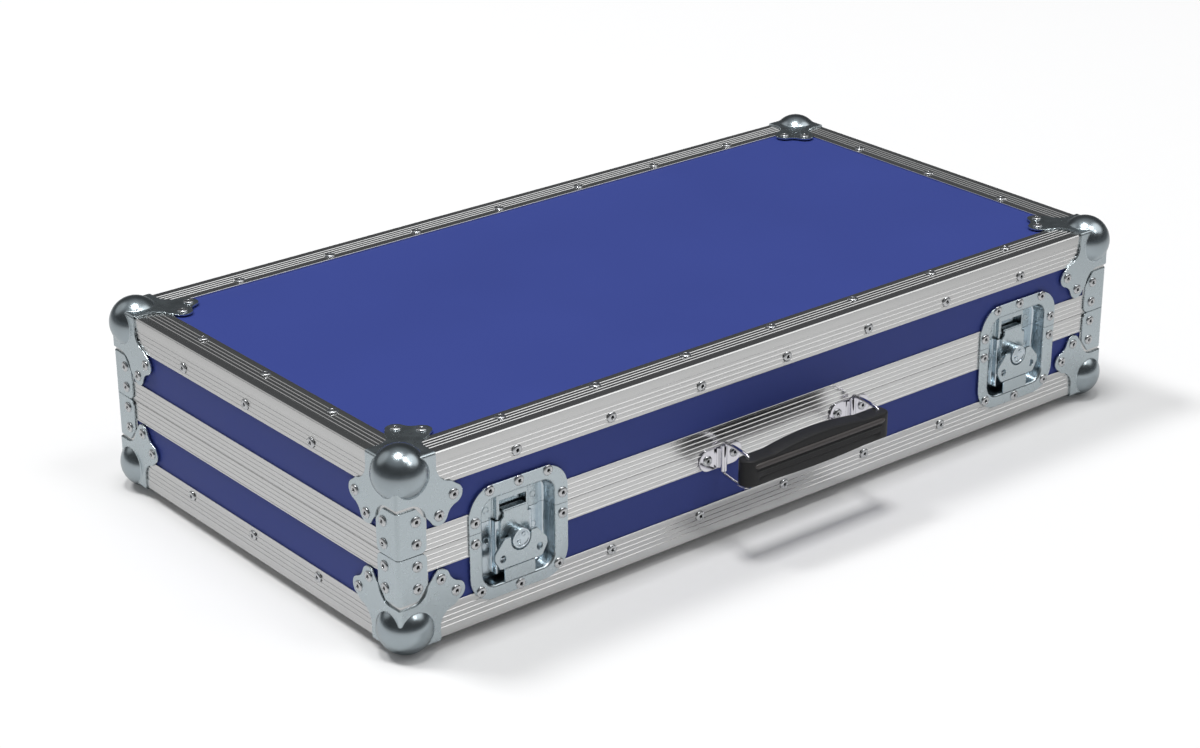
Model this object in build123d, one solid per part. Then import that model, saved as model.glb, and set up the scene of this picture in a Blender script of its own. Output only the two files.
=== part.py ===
from build123d import *
import os
from math import acos, cos, degrees, radians, sin, sqrt

os.makedirs("parts", exist_ok=True)

# Case, outside faces of the aluminium edge sections
CASE_L = 874.0
CASE_W = 454.0
CASE_H = 174.0
SEAM_GAP = 0.4

# Laminated plywood and the aluminium sections that hold it
WALL = 1.6
PLY = 7.0
EDGE_LEG = 31.0
EDGE_INNER_LEG = 24.0
EDGE_SLOT = 12.0
EDGE_RIB_FIRST = 9.5
EDGE_RIB_PITCH = 4.7
EDGE_RIB_COUNT = 4
RIB_W = 1.4
RIB_SIDE_GROOVE = 1.0
RIB_DEEP = 0.5
ANGLE_LEG = 30.0

# Tongue and groove closing section at the seam
CLOSER_SKIRT = 20.0
CLOSER_INNER_SKIRT = 14.0
CLOSER_WEB = 6.0
CLOSER_RIB_FIRST = 4.0
CLOSER_RIB_PITCH = 3.8
CLOSER_RIB_COUNT = 4
CLOSER_RIB_W = 1.6
GROOVE_IN = 3.6
GROOVE_OUT = 7.4
GROOVE_DEEP = 3.6
TONGUE_CLEAR = 0.8
TONGUE_DEEP = 3.0
TONGUE_TAPER = 0.3

# Ball corners
BALL_R = 25.0
BALL_IN = 15.2
BALL_SHEET = 1.8
BALL_FACETS = 18
BALL_RINGS_TO_AXIS = 3
CORNER_NIP = 7.5
WING_NECK = 40.3
WING_NECK_V = 12.0
WING_FLARE = (54.8, 28.4)
WING_LOBE = (57.2, 41.7)
WING_LOBE_R = 9.3
WING_LOBE_FROM = -65.0
WING_LOBE_TO = 62.0
WING_NOTCH = 55.0

# Seam braces round the upright corners
BRACE_LEG = 28.4
BRACE_END_GAP = 3.7
BRACE_TAPER_H = 13.0
BRACE_TIP = 18.5
BRACE_ROUND = 7.0
BRACE_SHEET = 1.5
BRACE_GAP = 0.3

# Foam
FOAM_PAD = 20.0
FOAM_LINER = 14.0
FOAM_CLEAR = 0.3
LINER_TOP_DROP = 2.0

# Recessed butterfly latches
LATCH_FROM_END = 125.8
LATCH_SHEET = 1.5
DISH_SHEET = 1.2
DISH_W = 106.0
DISH_BELOW = 67.0
DISH_ABOVE = 40.7
DISH_ROUND = 25.0
MOUTH_W = 78.3
MOUTH_BELOW = 55.1
MOUTH_ABOVE = 27.1
MOUTH_ROUND = 13.5
DISH_DEEP = 14.0
DISH_CUT_CLEAR = 0.6
TAB_W = 33.0
TAB_H = 12.0
BED_W = 40.0
BED_LOW = 50.0
BED_FRONT = 6.7
STRIKE_W = 35.0
STRIKE_TOP = 25.0
STRIKE_FRONT = 7.7
STRIKE_WINDOW_W = 29.0
STRIKE_WINDOW_LOW = 7.7
STRIKE_WINDOW_H = 8.5
PLATE_FOOT_W = 62.0
PLATE_SEAM_DROP = 1.0

# Latch hook, spindle and wing
SPINDLE_DROP = 17.5
SPINDLE_R = 8.9
SPINDLE_OUT = 4.1
SPINDLE_CHAMFER = 0.5
SHAFT_R = 3.0
NUT_R = 5.5
NUT_T = 1.5
FIT_CLEAR = 0.05
HOOK_THROW = 4.0
CAM_R = 7.2
CAM_LOST_MOTION = 1.15
HOOK_FRONT = 4.5
HOOK_SHEET = 2.0
HOOK_TOP = 7.0
HOOK_LOW = 36.0
HOOK_W = 31.0
HOOK_NOSE_W = 24.0
HOOK_SHOULDER = 3.5
HOOK_LIP = 1.5
MOVE_CLEAR = 0.3
WING_BACK = 1.7
WING_SHEET = 2.0
WING_U_R = 11.0
WING_TOP = (17.5, 4.5)
WING_SIDE = (27.8, -8.0)
WING_HIP = (28.3, -13.5)
WING_FOOT = (22.5, -23.5)
WING_HOLE = (19.9, -14.1)
WING_HOLE_R = 3.3
WING_PIN_R = 1.6
WING_PIN_OUT = 0.9
WING_PIN_HALF = 17.0
WING_EAR_IN = 11.6

# Drop handle
HANDLE_BELOW = 11.0
BRACKET_X = 81.0
BRACKET_W = 51.0
BRACKET_H = 21.6
BRACKET_SHEET = 1.5
BARREL_OUT = 5.0
BARREL_R = 3.4
BARREL_H = 26.0
WIRE_R = 1.5
LOOP_H = 31.8
LOOP_BEND = 2.4
LOOP_REACH = 38.0
HANDLE_REST = 6.0
GRIP_R = 9.0
GRIP_END_HALF = 13.0
GRIP_CROWN = 18.0
GRIP_BELLY = 15.0
GRIP_SHOULDER_HALF = 56.0
GRIP_RIB_HALF = 79.0
GRIP_RIB_R = 2.6
GRIP_RIB_PROUD = 1.2
GRIP_RIB_UP = 6.0

# Lid hinges
HINGE_FROM_END = 177.0
HINGE_W = 72.0
HINGE_SHEET = 1.8
HINGE_LEAF_H = 34.0
HINGE_OUT = 4.3
KNUCKLE_R = 4.0
KNUCKLE_COUNT = 3
KNUCKLE_GAP = 0.4
HINGE_PIN_R = 2.0
HINGE_LEAF_DROP = 5.0

# Steps along round corners, and flats round thin pins, wires and their bores
ROUND_STEPS = 3
LOBE_STEPS = 4
SMALL_SIDES = 12
NUT_SIDES = 6

# Places worked out from the sizes above
HX = CASE_L / 2
HY = CASE_W / 2
SEAM_Z = CASE_H / 2
PLY_IN = WALL + PLY
SKIN_IN = PLY_IN + WALL
BALL_PROUD = BALL_R - BALL_IN
BRACE_H = SEAM_Z - WING_NECK - BRACE_END_GAP
BRACE_STRAIGHT = BRACE_H - BRACE_TAPER_H
LATCH_X = HX - LATCH_FROM_END
DISH_LOW = SEAM_Z - DISH_BELOW
DISH_HIGH = SEAM_Z + DISH_ABOVE
MOUTH_LOW = SEAM_Z - MOUTH_BELOW
MOUTH_HIGH = SEAM_Z + MOUTH_ABOVE
HANDLE_Z = SEAM_Z - HANDLE_BELOW
HINGE_X = HX - HINGE_FROM_END
HANDLE_REACH = BARREL_OUT + LOOP_REACH * cos(radians(HANDLE_REST)) + GRIP_R + GRIP_RIB_PROUD
CASE_SHIFT_Y = (HANDLE_REACH - BALL_PROUD) / 2
LOW = (Align.CENTER, Align.CENTER, Align.MIN)


def save(name, *solids):
    """Move the pieces from the case's own corner heights to the part's frame and write them."""
    placed = [solid.moved(Location((0, CASE_SHIFT_Y, BALL_PROUD))) for solid in flat(solids)]
    shape = placed[0] if len(placed) == 1 else Compound(children=placed)
    export_step(shape, f"parts/{name}.step")


def flat(shapes):
    """List the single solids of what is given."""
    return [solid for shape in shapes for solid in shape.solids()]


def block(x0, x1, y0, y1, z0, z1):
    """Box between two corners."""
    centre = ((x0 + x1) / 2, (y0 + y1) / 2, (z0 + z1) / 2)
    return Pos(*centre) * Box(abs(x1 - x0), abs(y1 - y0), abs(z1 - z0))


def mirror_x(shape):
    return mirror(shape, about=Plane.YZ)


def mirror_y(shape):
    return mirror(shape, about=Plane.XZ)


def to_lid(shape):
    """Turn a base piece over the seam plane into its lid twin."""
    return mirror(shape, about=Plane.XY.offset(SEAM_Z))


def four_corners(piece):
    """The same piece at the four upright corners."""
    return [piece, mirror_x(piece), mirror_y(piece), mirror_x(mirror_y(piece))]


def rib_profile(first, pitch, count, width, deep, side_groove):
    """Points (along, depth) of ribs left standing between shallow grooves, flush with the face."""
    points = []
    for index in range(count):
        middle = first + index * pitch
        gap_before = side_groove if index == 0 else pitch - width
        start = middle - width / 2
        points += [(start - gap_before, 0), (start - gap_before, deep), (start, deep), (start, 0)]
    end = first + (count - 1) * pitch + width / 2
    points += [(end, 0), (end, deep), (end + side_groove, deep), (end + side_groove, 0)]
    return points


def edge_section():
    """Double angle: an outer ribbed angle and a shorter inner one, with a slot for the plywood."""
    ribs = rib_profile(EDGE_RIB_FIRST, EDGE_RIB_PITCH, EDGE_RIB_COUNT, RIB_W, RIB_DEEP,
                       RIB_SIDE_GROOVE)
    half = [(0.0, 0.0)] + ribs + [
        (EDGE_LEG, 0.0),
        (EDGE_LEG, WALL),
        (EDGE_SLOT, WALL),
        (EDGE_SLOT, PLY_IN),
        (EDGE_INNER_LEG, PLY_IN),
        (EDGE_INNER_LEG, SKIN_IN),
        (SKIN_IN, SKIN_IN),
    ]
    other = [(depth, along) for along, depth in reversed(half[1:-1])]
    return half + other


def closer_section(tongue):
    """Closing section as (depth, height from the seam); the base has the groove, the lid the tongue."""
    face = SEAM_GAP / 2
    ribs = rib_profile(CLOSER_RIB_FIRST, CLOSER_RIB_PITCH, CLOSER_RIB_COUNT, CLOSER_RIB_W,
                       RIB_DEEP, RIB_SIDE_GROOVE)
    outside = [(depth, along) for along, depth in ribs]
    shape = [(0.0, face)] + outside + [
        (0.0, CLOSER_SKIRT),
        (WALL, CLOSER_SKIRT),
        (WALL, CLOSER_WEB),
        (PLY_IN, CLOSER_WEB),
        (PLY_IN, CLOSER_INNER_SKIRT),
        (SKIN_IN, CLOSER_INNER_SKIRT),
        (SKIN_IN, face),
    ]
    if tongue:
        near = GROOVE_IN + TONGUE_CLEAR
        far = GROOVE_OUT - TONGUE_CLEAR
        tip = -(TONGUE_DEEP - face)
        shape += [(far, face), (far - TONGUE_TAPER, tip), (near + TONGUE_TAPER, tip), (near, face)]
    else:
        bottom = face + GROOVE_DEEP
        shape += [(GROOVE_OUT, face), (GROOVE_OUT - TONGUE_TAPER, bottom),
                  (GROOVE_IN + TONGUE_TAPER, bottom), (GROOVE_IN, face)]
    return shape


def long_bar(points):
    """Extrude a section of (depth from the front, height) along the front."""
    line = Polyline(*[(-HY + depth, height) for depth, height in points], close=True)
    return extrude(make_face(Plane.YZ * line), amount=HX, both=True)


def short_bar(points):
    """Extrude a section of (depth from the left end, height) along the left end."""
    line = Polyline(*[(-HX + depth, height) for depth, height in points], close=True)
    return extrude(make_face(Plane.XZ * line), amount=HY, both=True)


def mitre(bar, deep, front):
    """Trim a bar to 45 degree mitres in plan."""
    if front:
        plan = [(-HX, -HY), (HX, -HY), (HX - deep, -HY + deep), (-HX + deep, -HY + deep)]
    else:
        plan = [(-HX, -HY), (-HX, HY), (-HX + deep, HY - deep), (-HX + deep, -HY + deep)]
    prism = extrude(make_face(Polyline(*plan, close=True)), amount=CASE_H)
    return bar & prism


def corner_nips():
    """Wedges that take the points off the mitred ends, where the ball shell passes over them."""
    share = CORNER_NIP / 3
    plane = Plane(origin=(-HX + share, -HY + share, share), z_dir=(-1, -1, -1))
    wedge = plane * Box(4 * CORNER_NIP, 4 * CORNER_NIP, 2 * CORNER_NIP, align=LOW)
    return four_corners(wedge)


def latch_openings():
    """Cut-outs in the front for the two latch dishes."""
    reach = MOUTH_W / 2 + DISH_SHEET + DISH_CUT_CLEAR
    margin = DISH_SHEET + DISH_CUT_CLEAR
    deep = DISH_DEEP + DISH_SHEET + DISH_CUT_CLEAR
    cut = block(-reach, reach, -HY - WALL, -HY + deep, MOUTH_LOW - margin, MOUTH_HIGH + margin)
    return [Pos(side * LATCH_X, 0, 0) * cut for side in (-1, 1)]


def make_edges():
    """Edge sections round the bottom, and the same round the top."""
    section = edge_section()
    nips = corner_nips()
    front = mitre(long_bar(section), EDGE_LEG, True)
    left = mitre(short_bar(section), EDGE_LEG, False)
    for nip in nips:
        front = front - nip
        left = left - nip
    lid_front = to_lid(front)
    back = mirror_y(front)
    for cut in latch_openings():
        front = front - cut
    sides = {"front": front, "back": back, "left": left, "right": mirror_x(left)}
    for side, bar in sides.items():
        save(f"base_edge_{side}", bar)
    lid_sides = {"front": lid_front, "back": mirror_y(lid_front), "left": to_lid(left),
                 "right": to_lid(mirror_x(left))}
    for side, bar in lid_sides.items():
        save(f"lid_edge_{side}", bar)


def make_closers():
    """Grooved section on the base and tongued section on the lid."""
    cuts = latch_openings()
    for body, tongue in (("base", False), ("lid", True)):
        turn = 1 if tongue else -1
        section = [(depth, SEAM_Z + turn * height) for depth, height in closer_section(tongue)]
        front = mitre(long_bar(section), SKIN_IN, True)
        left = mitre(short_bar(section), SKIN_IN, False)
        back = mirror_y(front)
        for cut in cuts:
            front = front - cut
        save(f"{body}_closer_front", front)
        save(f"{body}_closer_back", back)
        save(f"{body}_closer_left", left)
        save(f"{body}_closer_right", mirror_x(left))


def make_panels():
    """Laminated plywood: floor, top and four walls for each half."""
    floor = block(-HX + EDGE_SLOT, HX - EDGE_SLOT, -HY + EDGE_SLOT, HY - EDGE_SLOT, WALL, PLY_IN)
    top_of_wall = SEAM_Z - CLOSER_WEB
    long_wall = block(-HX + WALL, HX - WALL, -HY + WALL, -HY + PLY_IN, EDGE_SLOT, top_of_wall)
    end_wall = block(-HX + WALL, -HX + PLY_IN, -HY + PLY_IN, HY - PLY_IN, EDGE_SLOT, top_of_wall)
    save("base_floor_panel", floor)
    save("lid_top_panel", to_lid(floor))
    for body in ("base", "lid"):
        wall = to_lid(long_wall) if body == "lid" else long_wall
        end = to_lid(end_wall) if body == "lid" else end_wall
        front = wall
        for cut in latch_openings():
            front = front - cut
        save(f"{body}_wall_front", front)
        save(f"{body}_wall_back", mirror_y(wall))
        save(f"{body}_wall_left", end)
        save(f"{body}_wall_right", mirror_x(end))


def make_corner_angles():
    """Plain angles down the upright corners, between the edge and the closing sections."""
    low = EDGE_LEG
    high = SEAM_Z - CLOSER_SKIRT
    outer = block(-HX, -HX + ANGLE_LEG, -HY, -HY + ANGLE_LEG, low, high)
    inner = block(-HX + WALL, -HX + 2 * ANGLE_LEG, -HY + WALL, -HY + 2 * ANGLE_LEG, low, high)
    angles = four_corners(outer - inner)
    save("base_corner_angles", *angles)
    save("lid_corner_angles", *[to_lid(angle) for angle in angles])


def arc_points(centre, radius, start, end, steps):
    """Points along an arc, its angles in degrees."""
    x, y = centre
    angles = [radians(start + (end - start) * step / steps) for step in range(steps + 1)]
    return [(x + radius * cos(angle), y + radius * sin(angle)) for angle in angles]


def outline_face(points):
    return make_face(Polyline(*points, close=True))


def small_rod(radius, length):
    """Thin round bar along Z, centred; its corners lie at the radius."""
    return extrude(RegularPolygon(radius, SMALL_SIDES), amount=length / 2, both=True)


def small_bore(radius, length):
    """Cutter for a thin bar's bore along Z, centred; its flats lie at the radius."""
    outline = RegularPolygon(radius, SMALL_SIDES, major_radius=False)
    return extrude(outline, amount=length / 2, both=True)


def wing_outline():
    """One face of the corner's sheet, with two riveted lobes mirrored about the diagonal."""
    flare_x, flare_y = WING_FLARE
    run = flare_x - WING_NECK
    rise = flare_y - WING_NECK_V
    flare_r = (run * run + rise * rise) / (2 * run)
    flare_turn = degrees(acos(1 - run / flare_r))
    flare_centre = (WING_NECK + flare_r, WING_NECK_V)
    half = arc_points(flare_centre, flare_r, 180, 180 - flare_turn, ROUND_STEPS)
    half += arc_points(WING_LOBE, WING_LOBE_R, WING_LOBE_FROM, WING_LOBE_TO, LOBE_STEPS)
    swapped = [(y, x) for x, y in reversed(half)]
    points = [(0, 0), (WING_NECK, 0)] + half + [(WING_NOTCH, WING_NOTCH)]
    return outline_face(points + swapped + [(0, WING_NECK)])


def ball():
    """Faceted ball about the origin; a facet's corner lies on each outward axis, at full radius."""
    to_axis = acos(1 / sqrt(3))
    pole = Vector(-1, -1, -1).normalized()
    first = (Vector(-1, 0, 0) - pole * cos(to_axis)).normalized()
    second = pole.cross(first)

    def ring(index):
        polar = index * to_axis / BALL_RINGS_TO_AXIS
        turns = [radians(360 * step / BALL_FACETS) for step in range(BALL_FACETS)]
        return [(pole * cos(polar) + (first * cos(turn) + second * sin(turn)) * sin(polar)) * BALL_R
                for turn in turns]

    rings = [ring(index) for index in range(1, 2 * BALL_RINGS_TO_AXIS + 1)]
    faces = []
    for step in range(BALL_FACETS):
        after = (step + 1) % BALL_FACETS
        outline = [pole * BALL_R, rings[0][step], rings[0][after]]
        faces.append(Face(Wire.make_polygon(outline)))
        for near, far in zip(rings, rings[1:]):
            faces.append(Face(Wire.make_polygon([near[step], far[step], far[after], near[after]])))
    faces.append(Face(Wire.make_polygon(rings[-1])))
    return Solid(Shell(faces))


def edge_bend(length, sheet):
    """Bent edge of a sheet corner along +Z from the origin, bevelled in two steps."""
    profile = [(0, 0)] + arc_points((0, 0), sheet, 180, 270, 2)
    return extrude(outline_face(profile), amount=length)


def ball_corner():
    """Pressed corner at a case corner laid at the origin: three winged faces, bent edges, a ball."""
    face = wing_outline()
    bend = edge_bend(WING_NECK, BALL_SHEET)
    pieces = [
        extrude(face, amount=-BALL_SHEET),
        extrude(Plane.XZ * face, amount=BALL_SHEET),
        extrude(Plane.YZ * face, amount=-BALL_SHEET),
        bend,
        Plane.YZ * bend,
        Plane.ZX * bend,
    ]
    shell = Pos(BALL_IN, BALL_IN, BALL_IN) * ball()
    for piece in pieces:
        shell = shell + piece
    far = 4 * BALL_R
    return shell - block(0, far, 0, far, 0, far)


def make_ball_corners():
    """Eight ball corners; the lower four are the feet that the case stands on."""
    corner = Pos(-HX, -HY, 0) * ball_corner()
    corners = four_corners(corner)
    save("base_ball_corners", *corners)
    save("lid_ball_corners", *[to_lid(piece) for piece in corners])


def brace_leg():
    """Outline of one brace leg as (from the corner, height from the seam)."""
    centre = (BRACE_LEG - BRACE_ROUND, BRACE_GAP + BRACE_ROUND)
    corner = arc_points(centre, BRACE_ROUND, -90, 0, ROUND_STEPS)
    rest = [(BRACE_LEG, BRACE_STRAIGHT), (BRACE_TIP, BRACE_H), (0, BRACE_H)]
    return outline_face([(0, BRACE_GAP)] + corner + rest)


def make_braces():
    """Bent corner braces that meet at the seam, one pair on each upright corner."""
    leg = brace_leg()
    front = extrude(Plane.XZ * leg, amount=BRACE_SHEET)
    side = extrude(Plane.YZ * leg, amount=-BRACE_SHEET)
    bend = Pos(0, 0, BRACE_GAP) * edge_bend(BRACE_H - BRACE_GAP, BRACE_SHEET)
    lid_brace = Pos(-HX, -HY, SEAM_Z) * (front + side + bend)
    lid_braces = four_corners(lid_brace)
    save("lid_braces", *lid_braces)
    save("base_braces", *[to_lid(brace) for brace in lid_braces])


def make_foam():
    """Foam on the floor, round the base walls and under the top."""
    inset = SKIN_IN + FOAM_LINER + FOAM_CLEAR
    pad = block(-HX + inset, HX - inset, -HY + inset, HY - inset, PLY_IN, PLY_IN + FOAM_PAD)
    save("base_floor_foam", pad)
    save("lid_foam", to_lid(pad))
    low = SKIN_IN
    high = SEAM_Z - LINER_TOP_DROP
    near = SKIN_IN + FOAM_CLEAR
    ends = HY - near - FOAM_LINER
    back = block(-HX + near, HX - near, ends, HY - near, low, high)
    end = block(-HX + near, -HX + near + FOAM_LINER, -ends, ends, low, high)
    round_dish = DISH_SHEET + DISH_CUT_CLEAR + FOAM_CLEAR
    sill = MOUTH_LOW - round_dish
    reach = MOUTH_W / 2 + round_dish
    strips = [block(-HX + near, HX - near, near - HY, -ends, low, sill)]
    for start, stop in ((near - HX, -LATCH_X - reach), (reach - LATCH_X, LATCH_X - reach),
                        (LATCH_X + reach, HX - near)):
        strips.append(block(start, stop, near - HY, -ends, sill, high))
    save("base_foam_liner", *strips, back, end, mirror_x(end))


def rounded_window(width, low, high, round_r, deep_from, deep_to):
    """Rounded rectangle in the front face, extruded between two depths from the face."""
    side = width / 2 - round_r
    points = arc_points((side, high - round_r), round_r, 0, 90, ROUND_STEPS)
    points += arc_points((-side, high - round_r), round_r, 90, 180, ROUND_STEPS)
    points += arc_points((-side, low + round_r), round_r, 180, 270, ROUND_STEPS)
    points += arc_points((side, low + round_r), round_r, 270, 360, ROUND_STEPS)
    return Pos(0, -HY + deep_to, 0) * extrude(Plane.XZ * outline_face(points),
                                             amount=deep_to - deep_from)


def latch_dish():
    """Pressed dish with its flange, whole, before it is split at the seam."""
    flange = rounded_window(DISH_W, DISH_LOW, DISH_HIGH, DISH_ROUND, -LATCH_SHEET, 0)
    bowl = rounded_window(MOUTH_W + 2 * DISH_SHEET, MOUTH_LOW - DISH_SHEET,
                          MOUTH_HIGH + DISH_SHEET, MOUTH_ROUND + DISH_SHEET, 0,
                          DISH_DEEP + DISH_SHEET)
    hollow = rounded_window(MOUTH_W, MOUTH_LOW, MOUTH_HIGH, MOUTH_ROUND, -2 * LATCH_SHEET,
                            DISH_DEEP)
    return flange + bowl - hollow


def plate_foot(centre_w, front, low, high):
    """Top hat plate that stands on the dish floor."""
    back = DISH_DEEP
    top = block(-centre_w / 2, centre_w / 2, -HY + front, -HY + front + LATCH_SHEET, low, high)
    walls = []
    for side in (-1, 1):
        edge = side * centre_w / 2
        walls.append(block(edge - side * LATCH_SHEET, edge, -HY + front, -HY + back, low, high))
        walls.append(block(edge, side * PLATE_FOOT_W / 2, -HY + back - LATCH_SHEET, -HY + back,
                           low, high))
    for wall in walls:
        top = top + wall
    return top


def make_latch_housings():
    """Dishes on the base and the lid, the bed plate and the strike plate."""
    dish = latch_dish()
    below = block(-DISH_W, DISH_W, -CASE_W, 0, 0, SEAM_Z - SEAM_GAP / 2)
    above = block(-DISH_W, DISH_W, -CASE_W, 0, SEAM_Z + SEAM_GAP / 2, CASE_H)
    tab = block(-TAB_W / 2, TAB_W / 2, -HY - LATCH_SHEET, -HY, MOUTH_LOW - DISH_SHEET,
                MOUTH_LOW + TAB_H)
    lower = (dish & below) + tab
    upper = dish & above
    spindle_z = SEAM_Z - SPINDLE_DROP
    bed = plate_foot(BED_W, BED_FRONT, SEAM_Z - BED_LOW, SEAM_Z - PLATE_SEAM_DROP)
    bore = Pos(0, -HY, spindle_z) * Rot(90, 0, 0) * Cylinder(SHAFT_R + FIT_CLEAR, 4 * DISH_DEEP)
    bed = bed - bore
    strike = plate_foot(STRIKE_W, STRIKE_FRONT, SEAM_Z + PLATE_SEAM_DROP, SEAM_Z + STRIKE_TOP)
    window_low = SEAM_Z + STRIKE_WINDOW_LOW
    strike = strike - block(-STRIKE_WINDOW_W / 2, STRIKE_WINDOW_W / 2, -HY,
                            -HY + STRIKE_FRONT + 2 * LATCH_SHEET, window_low,
                            window_low + STRIKE_WINDOW_H)
    for side, name in ((-1, "left"), (1, "right")):
        place = Pos(side * LATCH_X, 0, 0)
        save(f"latch_{name}_dish", place * lower)
        save(f"latch_{name}_bed_plate", place * bed)
        save(f"latch_{name}_strike_dish", place * upper)
        save(f"latch_{name}_strike_plate", place * strike)


def face_plate(points, out, sheet):
    """Flat plate from (x, height) points, its front at a depth out from the case's face."""
    outline = outline_face(points)
    return Pos(0, -HY - out + sheet, 0) * extrude(Plane.XZ * outline, amount=sheet)


def front_rod(radius, out_from, out_to):
    """Round bar square to the front, between two distances out from the face."""
    rod = Rot(90, 0, 0) * Cylinder(radius, out_to - out_from, align=LOW)
    return Pos(0, -HY - out_from, 0) * rod


def latch_hook():
    """Sliding plate with a bent nose, driven by the spindle's cam in a cross slot."""
    top = SPINDLE_DROP + HOOK_TOP
    low = SPINDLE_DROP - HOOK_LOW
    shoulder = top - HOOK_SHOULDER
    half = HOOK_W / 2
    nose = HOOK_NOSE_W / 2
    flare = shoulder - (half - nose)
    points = [(-half, low), (half, low), (half, flare), (nose, shoulder), (nose, top),
              (-nose, top), (-nose, shoulder), (-half, flare)]
    plate = face_plate(points, -HOOK_FRONT, HOOK_SHEET)
    lip_deep = STRIKE_FRONT - MOVE_CLEAR
    lip = block(-nose, nose, -HY + HOOK_FRONT, -HY + lip_deep, top - HOOK_LIP, top)
    slot_half = CAM_R + CAM_LOST_MOTION
    slot = SlotOverall(2 * (CAM_R + HOOK_THROW + MOVE_CLEAR), 2 * slot_half)
    cutter = extrude(Plane.XZ * slot, amount=HY, both=True)
    return plate + lip - Pos(0, 0, -HOOK_THROW) * cutter


def latch_spindle():
    """Knob, its offset cam for the hook, and the shaft that a nut keeps in the bed plate."""
    back = -HOOK_FRONT + MOVE_CLEAR
    knob = front_rod(SPINDLE_R, back, SPINDLE_OUT)
    knob = chamfer(knob.edges().sort_by(Axis.Y)[0], SPINDLE_CHAMFER)
    cam_back = -BED_FRONT + FIT_CLEAR
    cam = extrude(Plane.XZ * RegularPolygon(CAM_R, SMALL_SIDES), amount=back - cam_back)
    cam = Pos(0, -HY - cam_back, -HOOK_THROW) * cam
    bed_back = -BED_FRONT - LATCH_SHEET - FIT_CLEAR
    shaft = front_rod(SHAFT_R, bed_back - NUT_T, back)
    nut = extrude(Plane.XZ * RegularPolygon(NUT_R, NUT_SIDES), amount=NUT_T)
    nut = Pos(0, -HY - bed_back + NUT_T, 0) * nut
    pin_hole = Pos(0, -HY - WING_PIN_OUT, 0) * Rot(0, 90, 0) * small_bore(WING_PIN_R, 4 * SPINDLE_R)
    return knob + cam + shaft + nut - pin_hole


def latch_wing():
    """Butterfly wing: a flat plate notched round the spindle, with curled ears on the pin."""
    right = [WING_TOP, WING_SIDE, WING_HIP, WING_FOOT]
    left = [(-x, z) for x, z in reversed(right)]
    plate = face_plate(right + left, WING_BACK + WING_SHEET, WING_SHEET)
    for side in (-1, 1):
        length = WING_PIN_HALF - WING_EAR_IN
        middle = side * (WING_PIN_HALF + WING_EAR_IN) / 2
        radius = WING_BACK + WING_SHEET - WING_PIN_OUT
        ear = Pos(middle, -HY - WING_PIN_OUT, 0) * Rot(0, 90, 0) * small_rod(radius, length)
        plate = plate + ear
    notch = extrude(Plane.XZ * Circle(WING_U_R), amount=CASE_W, both=True)
    notch = notch + block(-WING_U_R, WING_U_R, -CASE_W, 0, 0, 2 * WING_U_R)
    plate = plate - notch
    bore = Pos(0, -HY - WING_PIN_OUT, 0) * Rot(0, 90, 0)
    plate = plate - bore * small_bore(WING_PIN_R + FIT_CLEAR, 4 * WING_PIN_HALF)
    hole = extrude(Plane.XZ * RegularPolygon(WING_HOLE_R, SMALL_SIDES), amount=CASE_W, both=True)
    hole_x, hole_z = WING_HOLE
    return plate - Pos(hole_x, 0, hole_z) * hole - Pos(-hole_x, 0, hole_z) * hole


def make_latch_movements():
    """Hook, spindle, wing and wing pin of each latch."""
    hook = latch_hook()
    spindle = latch_spindle()
    wing = latch_wing()
    pin = Pos(0, -HY - WING_PIN_OUT, 0) * Rot(0, 90, 0) * Cylinder(WING_PIN_R, 2 * WING_PIN_HALF)
    for side, name in ((-1, "left"), (1, "right")):
        place = Pos(side * LATCH_X, 0, SEAM_Z - SPINDLE_DROP)
        save(f"latch_{name}_hook", place * hook)
        save(f"latch_{name}_spindle", place * spindle)
        save(f"latch_{name}_wing", place * wing)
        save(f"latch_{name}_wing_pin", place * pin)


def handle_bracket():
    """Sheet bracket with rounded ends, folded out into an upright barrel for the loop."""
    round_r = BRACKET_H / 2
    end = BRACKET_W / 2 - round_r
    outline = arc_points((-end, 0), round_r, 90, 270, 2 * ROUND_STEPS)
    outline += arc_points((end, 0), round_r, -90, 90, 2 * ROUND_STEPS)
    plate = extrude(Plane.XZ * outline_face(outline), amount=BRACKET_SHEET)
    neck = block(-BARREL_R, BARREL_R, -BARREL_OUT, 0, -BRACKET_H / 2, BRACKET_H / 2)
    barrel = Pos(0, -BARREL_OUT, 0) * small_rod(BARREL_R, BARREL_H)
    bore = Pos(0, -BARREL_OUT, 0) * small_bore(WIRE_R + FIT_CLEAR, 2 * BARREL_H)
    return Pos(0, -HY, HANDLE_Z) * (plate + neck + barrel - bore)


def handle_loop():
    """Closed wire loop, one upright in the bracket's barrel and the other in the grip."""
    high = LOOP_H / 2
    far = LOOP_REACH
    bend = LOOP_BEND
    route = [(0, -high + bend), (0, high - bend), (bend, high), (far - bend, high),
             (far, high - bend), (far, -high + bend), (far - bend, -high), (bend, -high)]
    points = [Vector(along, 0, height) for along, height in route]
    loop = None
    for index, start in enumerate(points):
        run = points[(index + 1) % len(points)] - start
        before = (start - points[index - 1]).normalized()
        after = (points[(index + 2) % len(points)] - start - run).normalized()
        along = run.normalized()
        reach = WIRE_R
        middle = Plane(origin=start + run / 2, x_dir=(0, 1, 0), z_dir=along)
        rod = middle * small_rod(WIRE_R, run.length + 2 * reach)
        for end, normal in ((start, -(before + along)), (start + run, along + after)):
            trim = Plane(origin=end, z_dir=normal) * Box(4 * bend, 4 * bend, 2 * bend, align=LOW)
            rod = rod - trim
        loop = rod if loop is None else loop + rod
    swing = HANDLE_REST
    return Pos(0, -HY - BARREL_OUT, HANDLE_Z) * Rot(0, 0, -90 - swing) * loop


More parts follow.
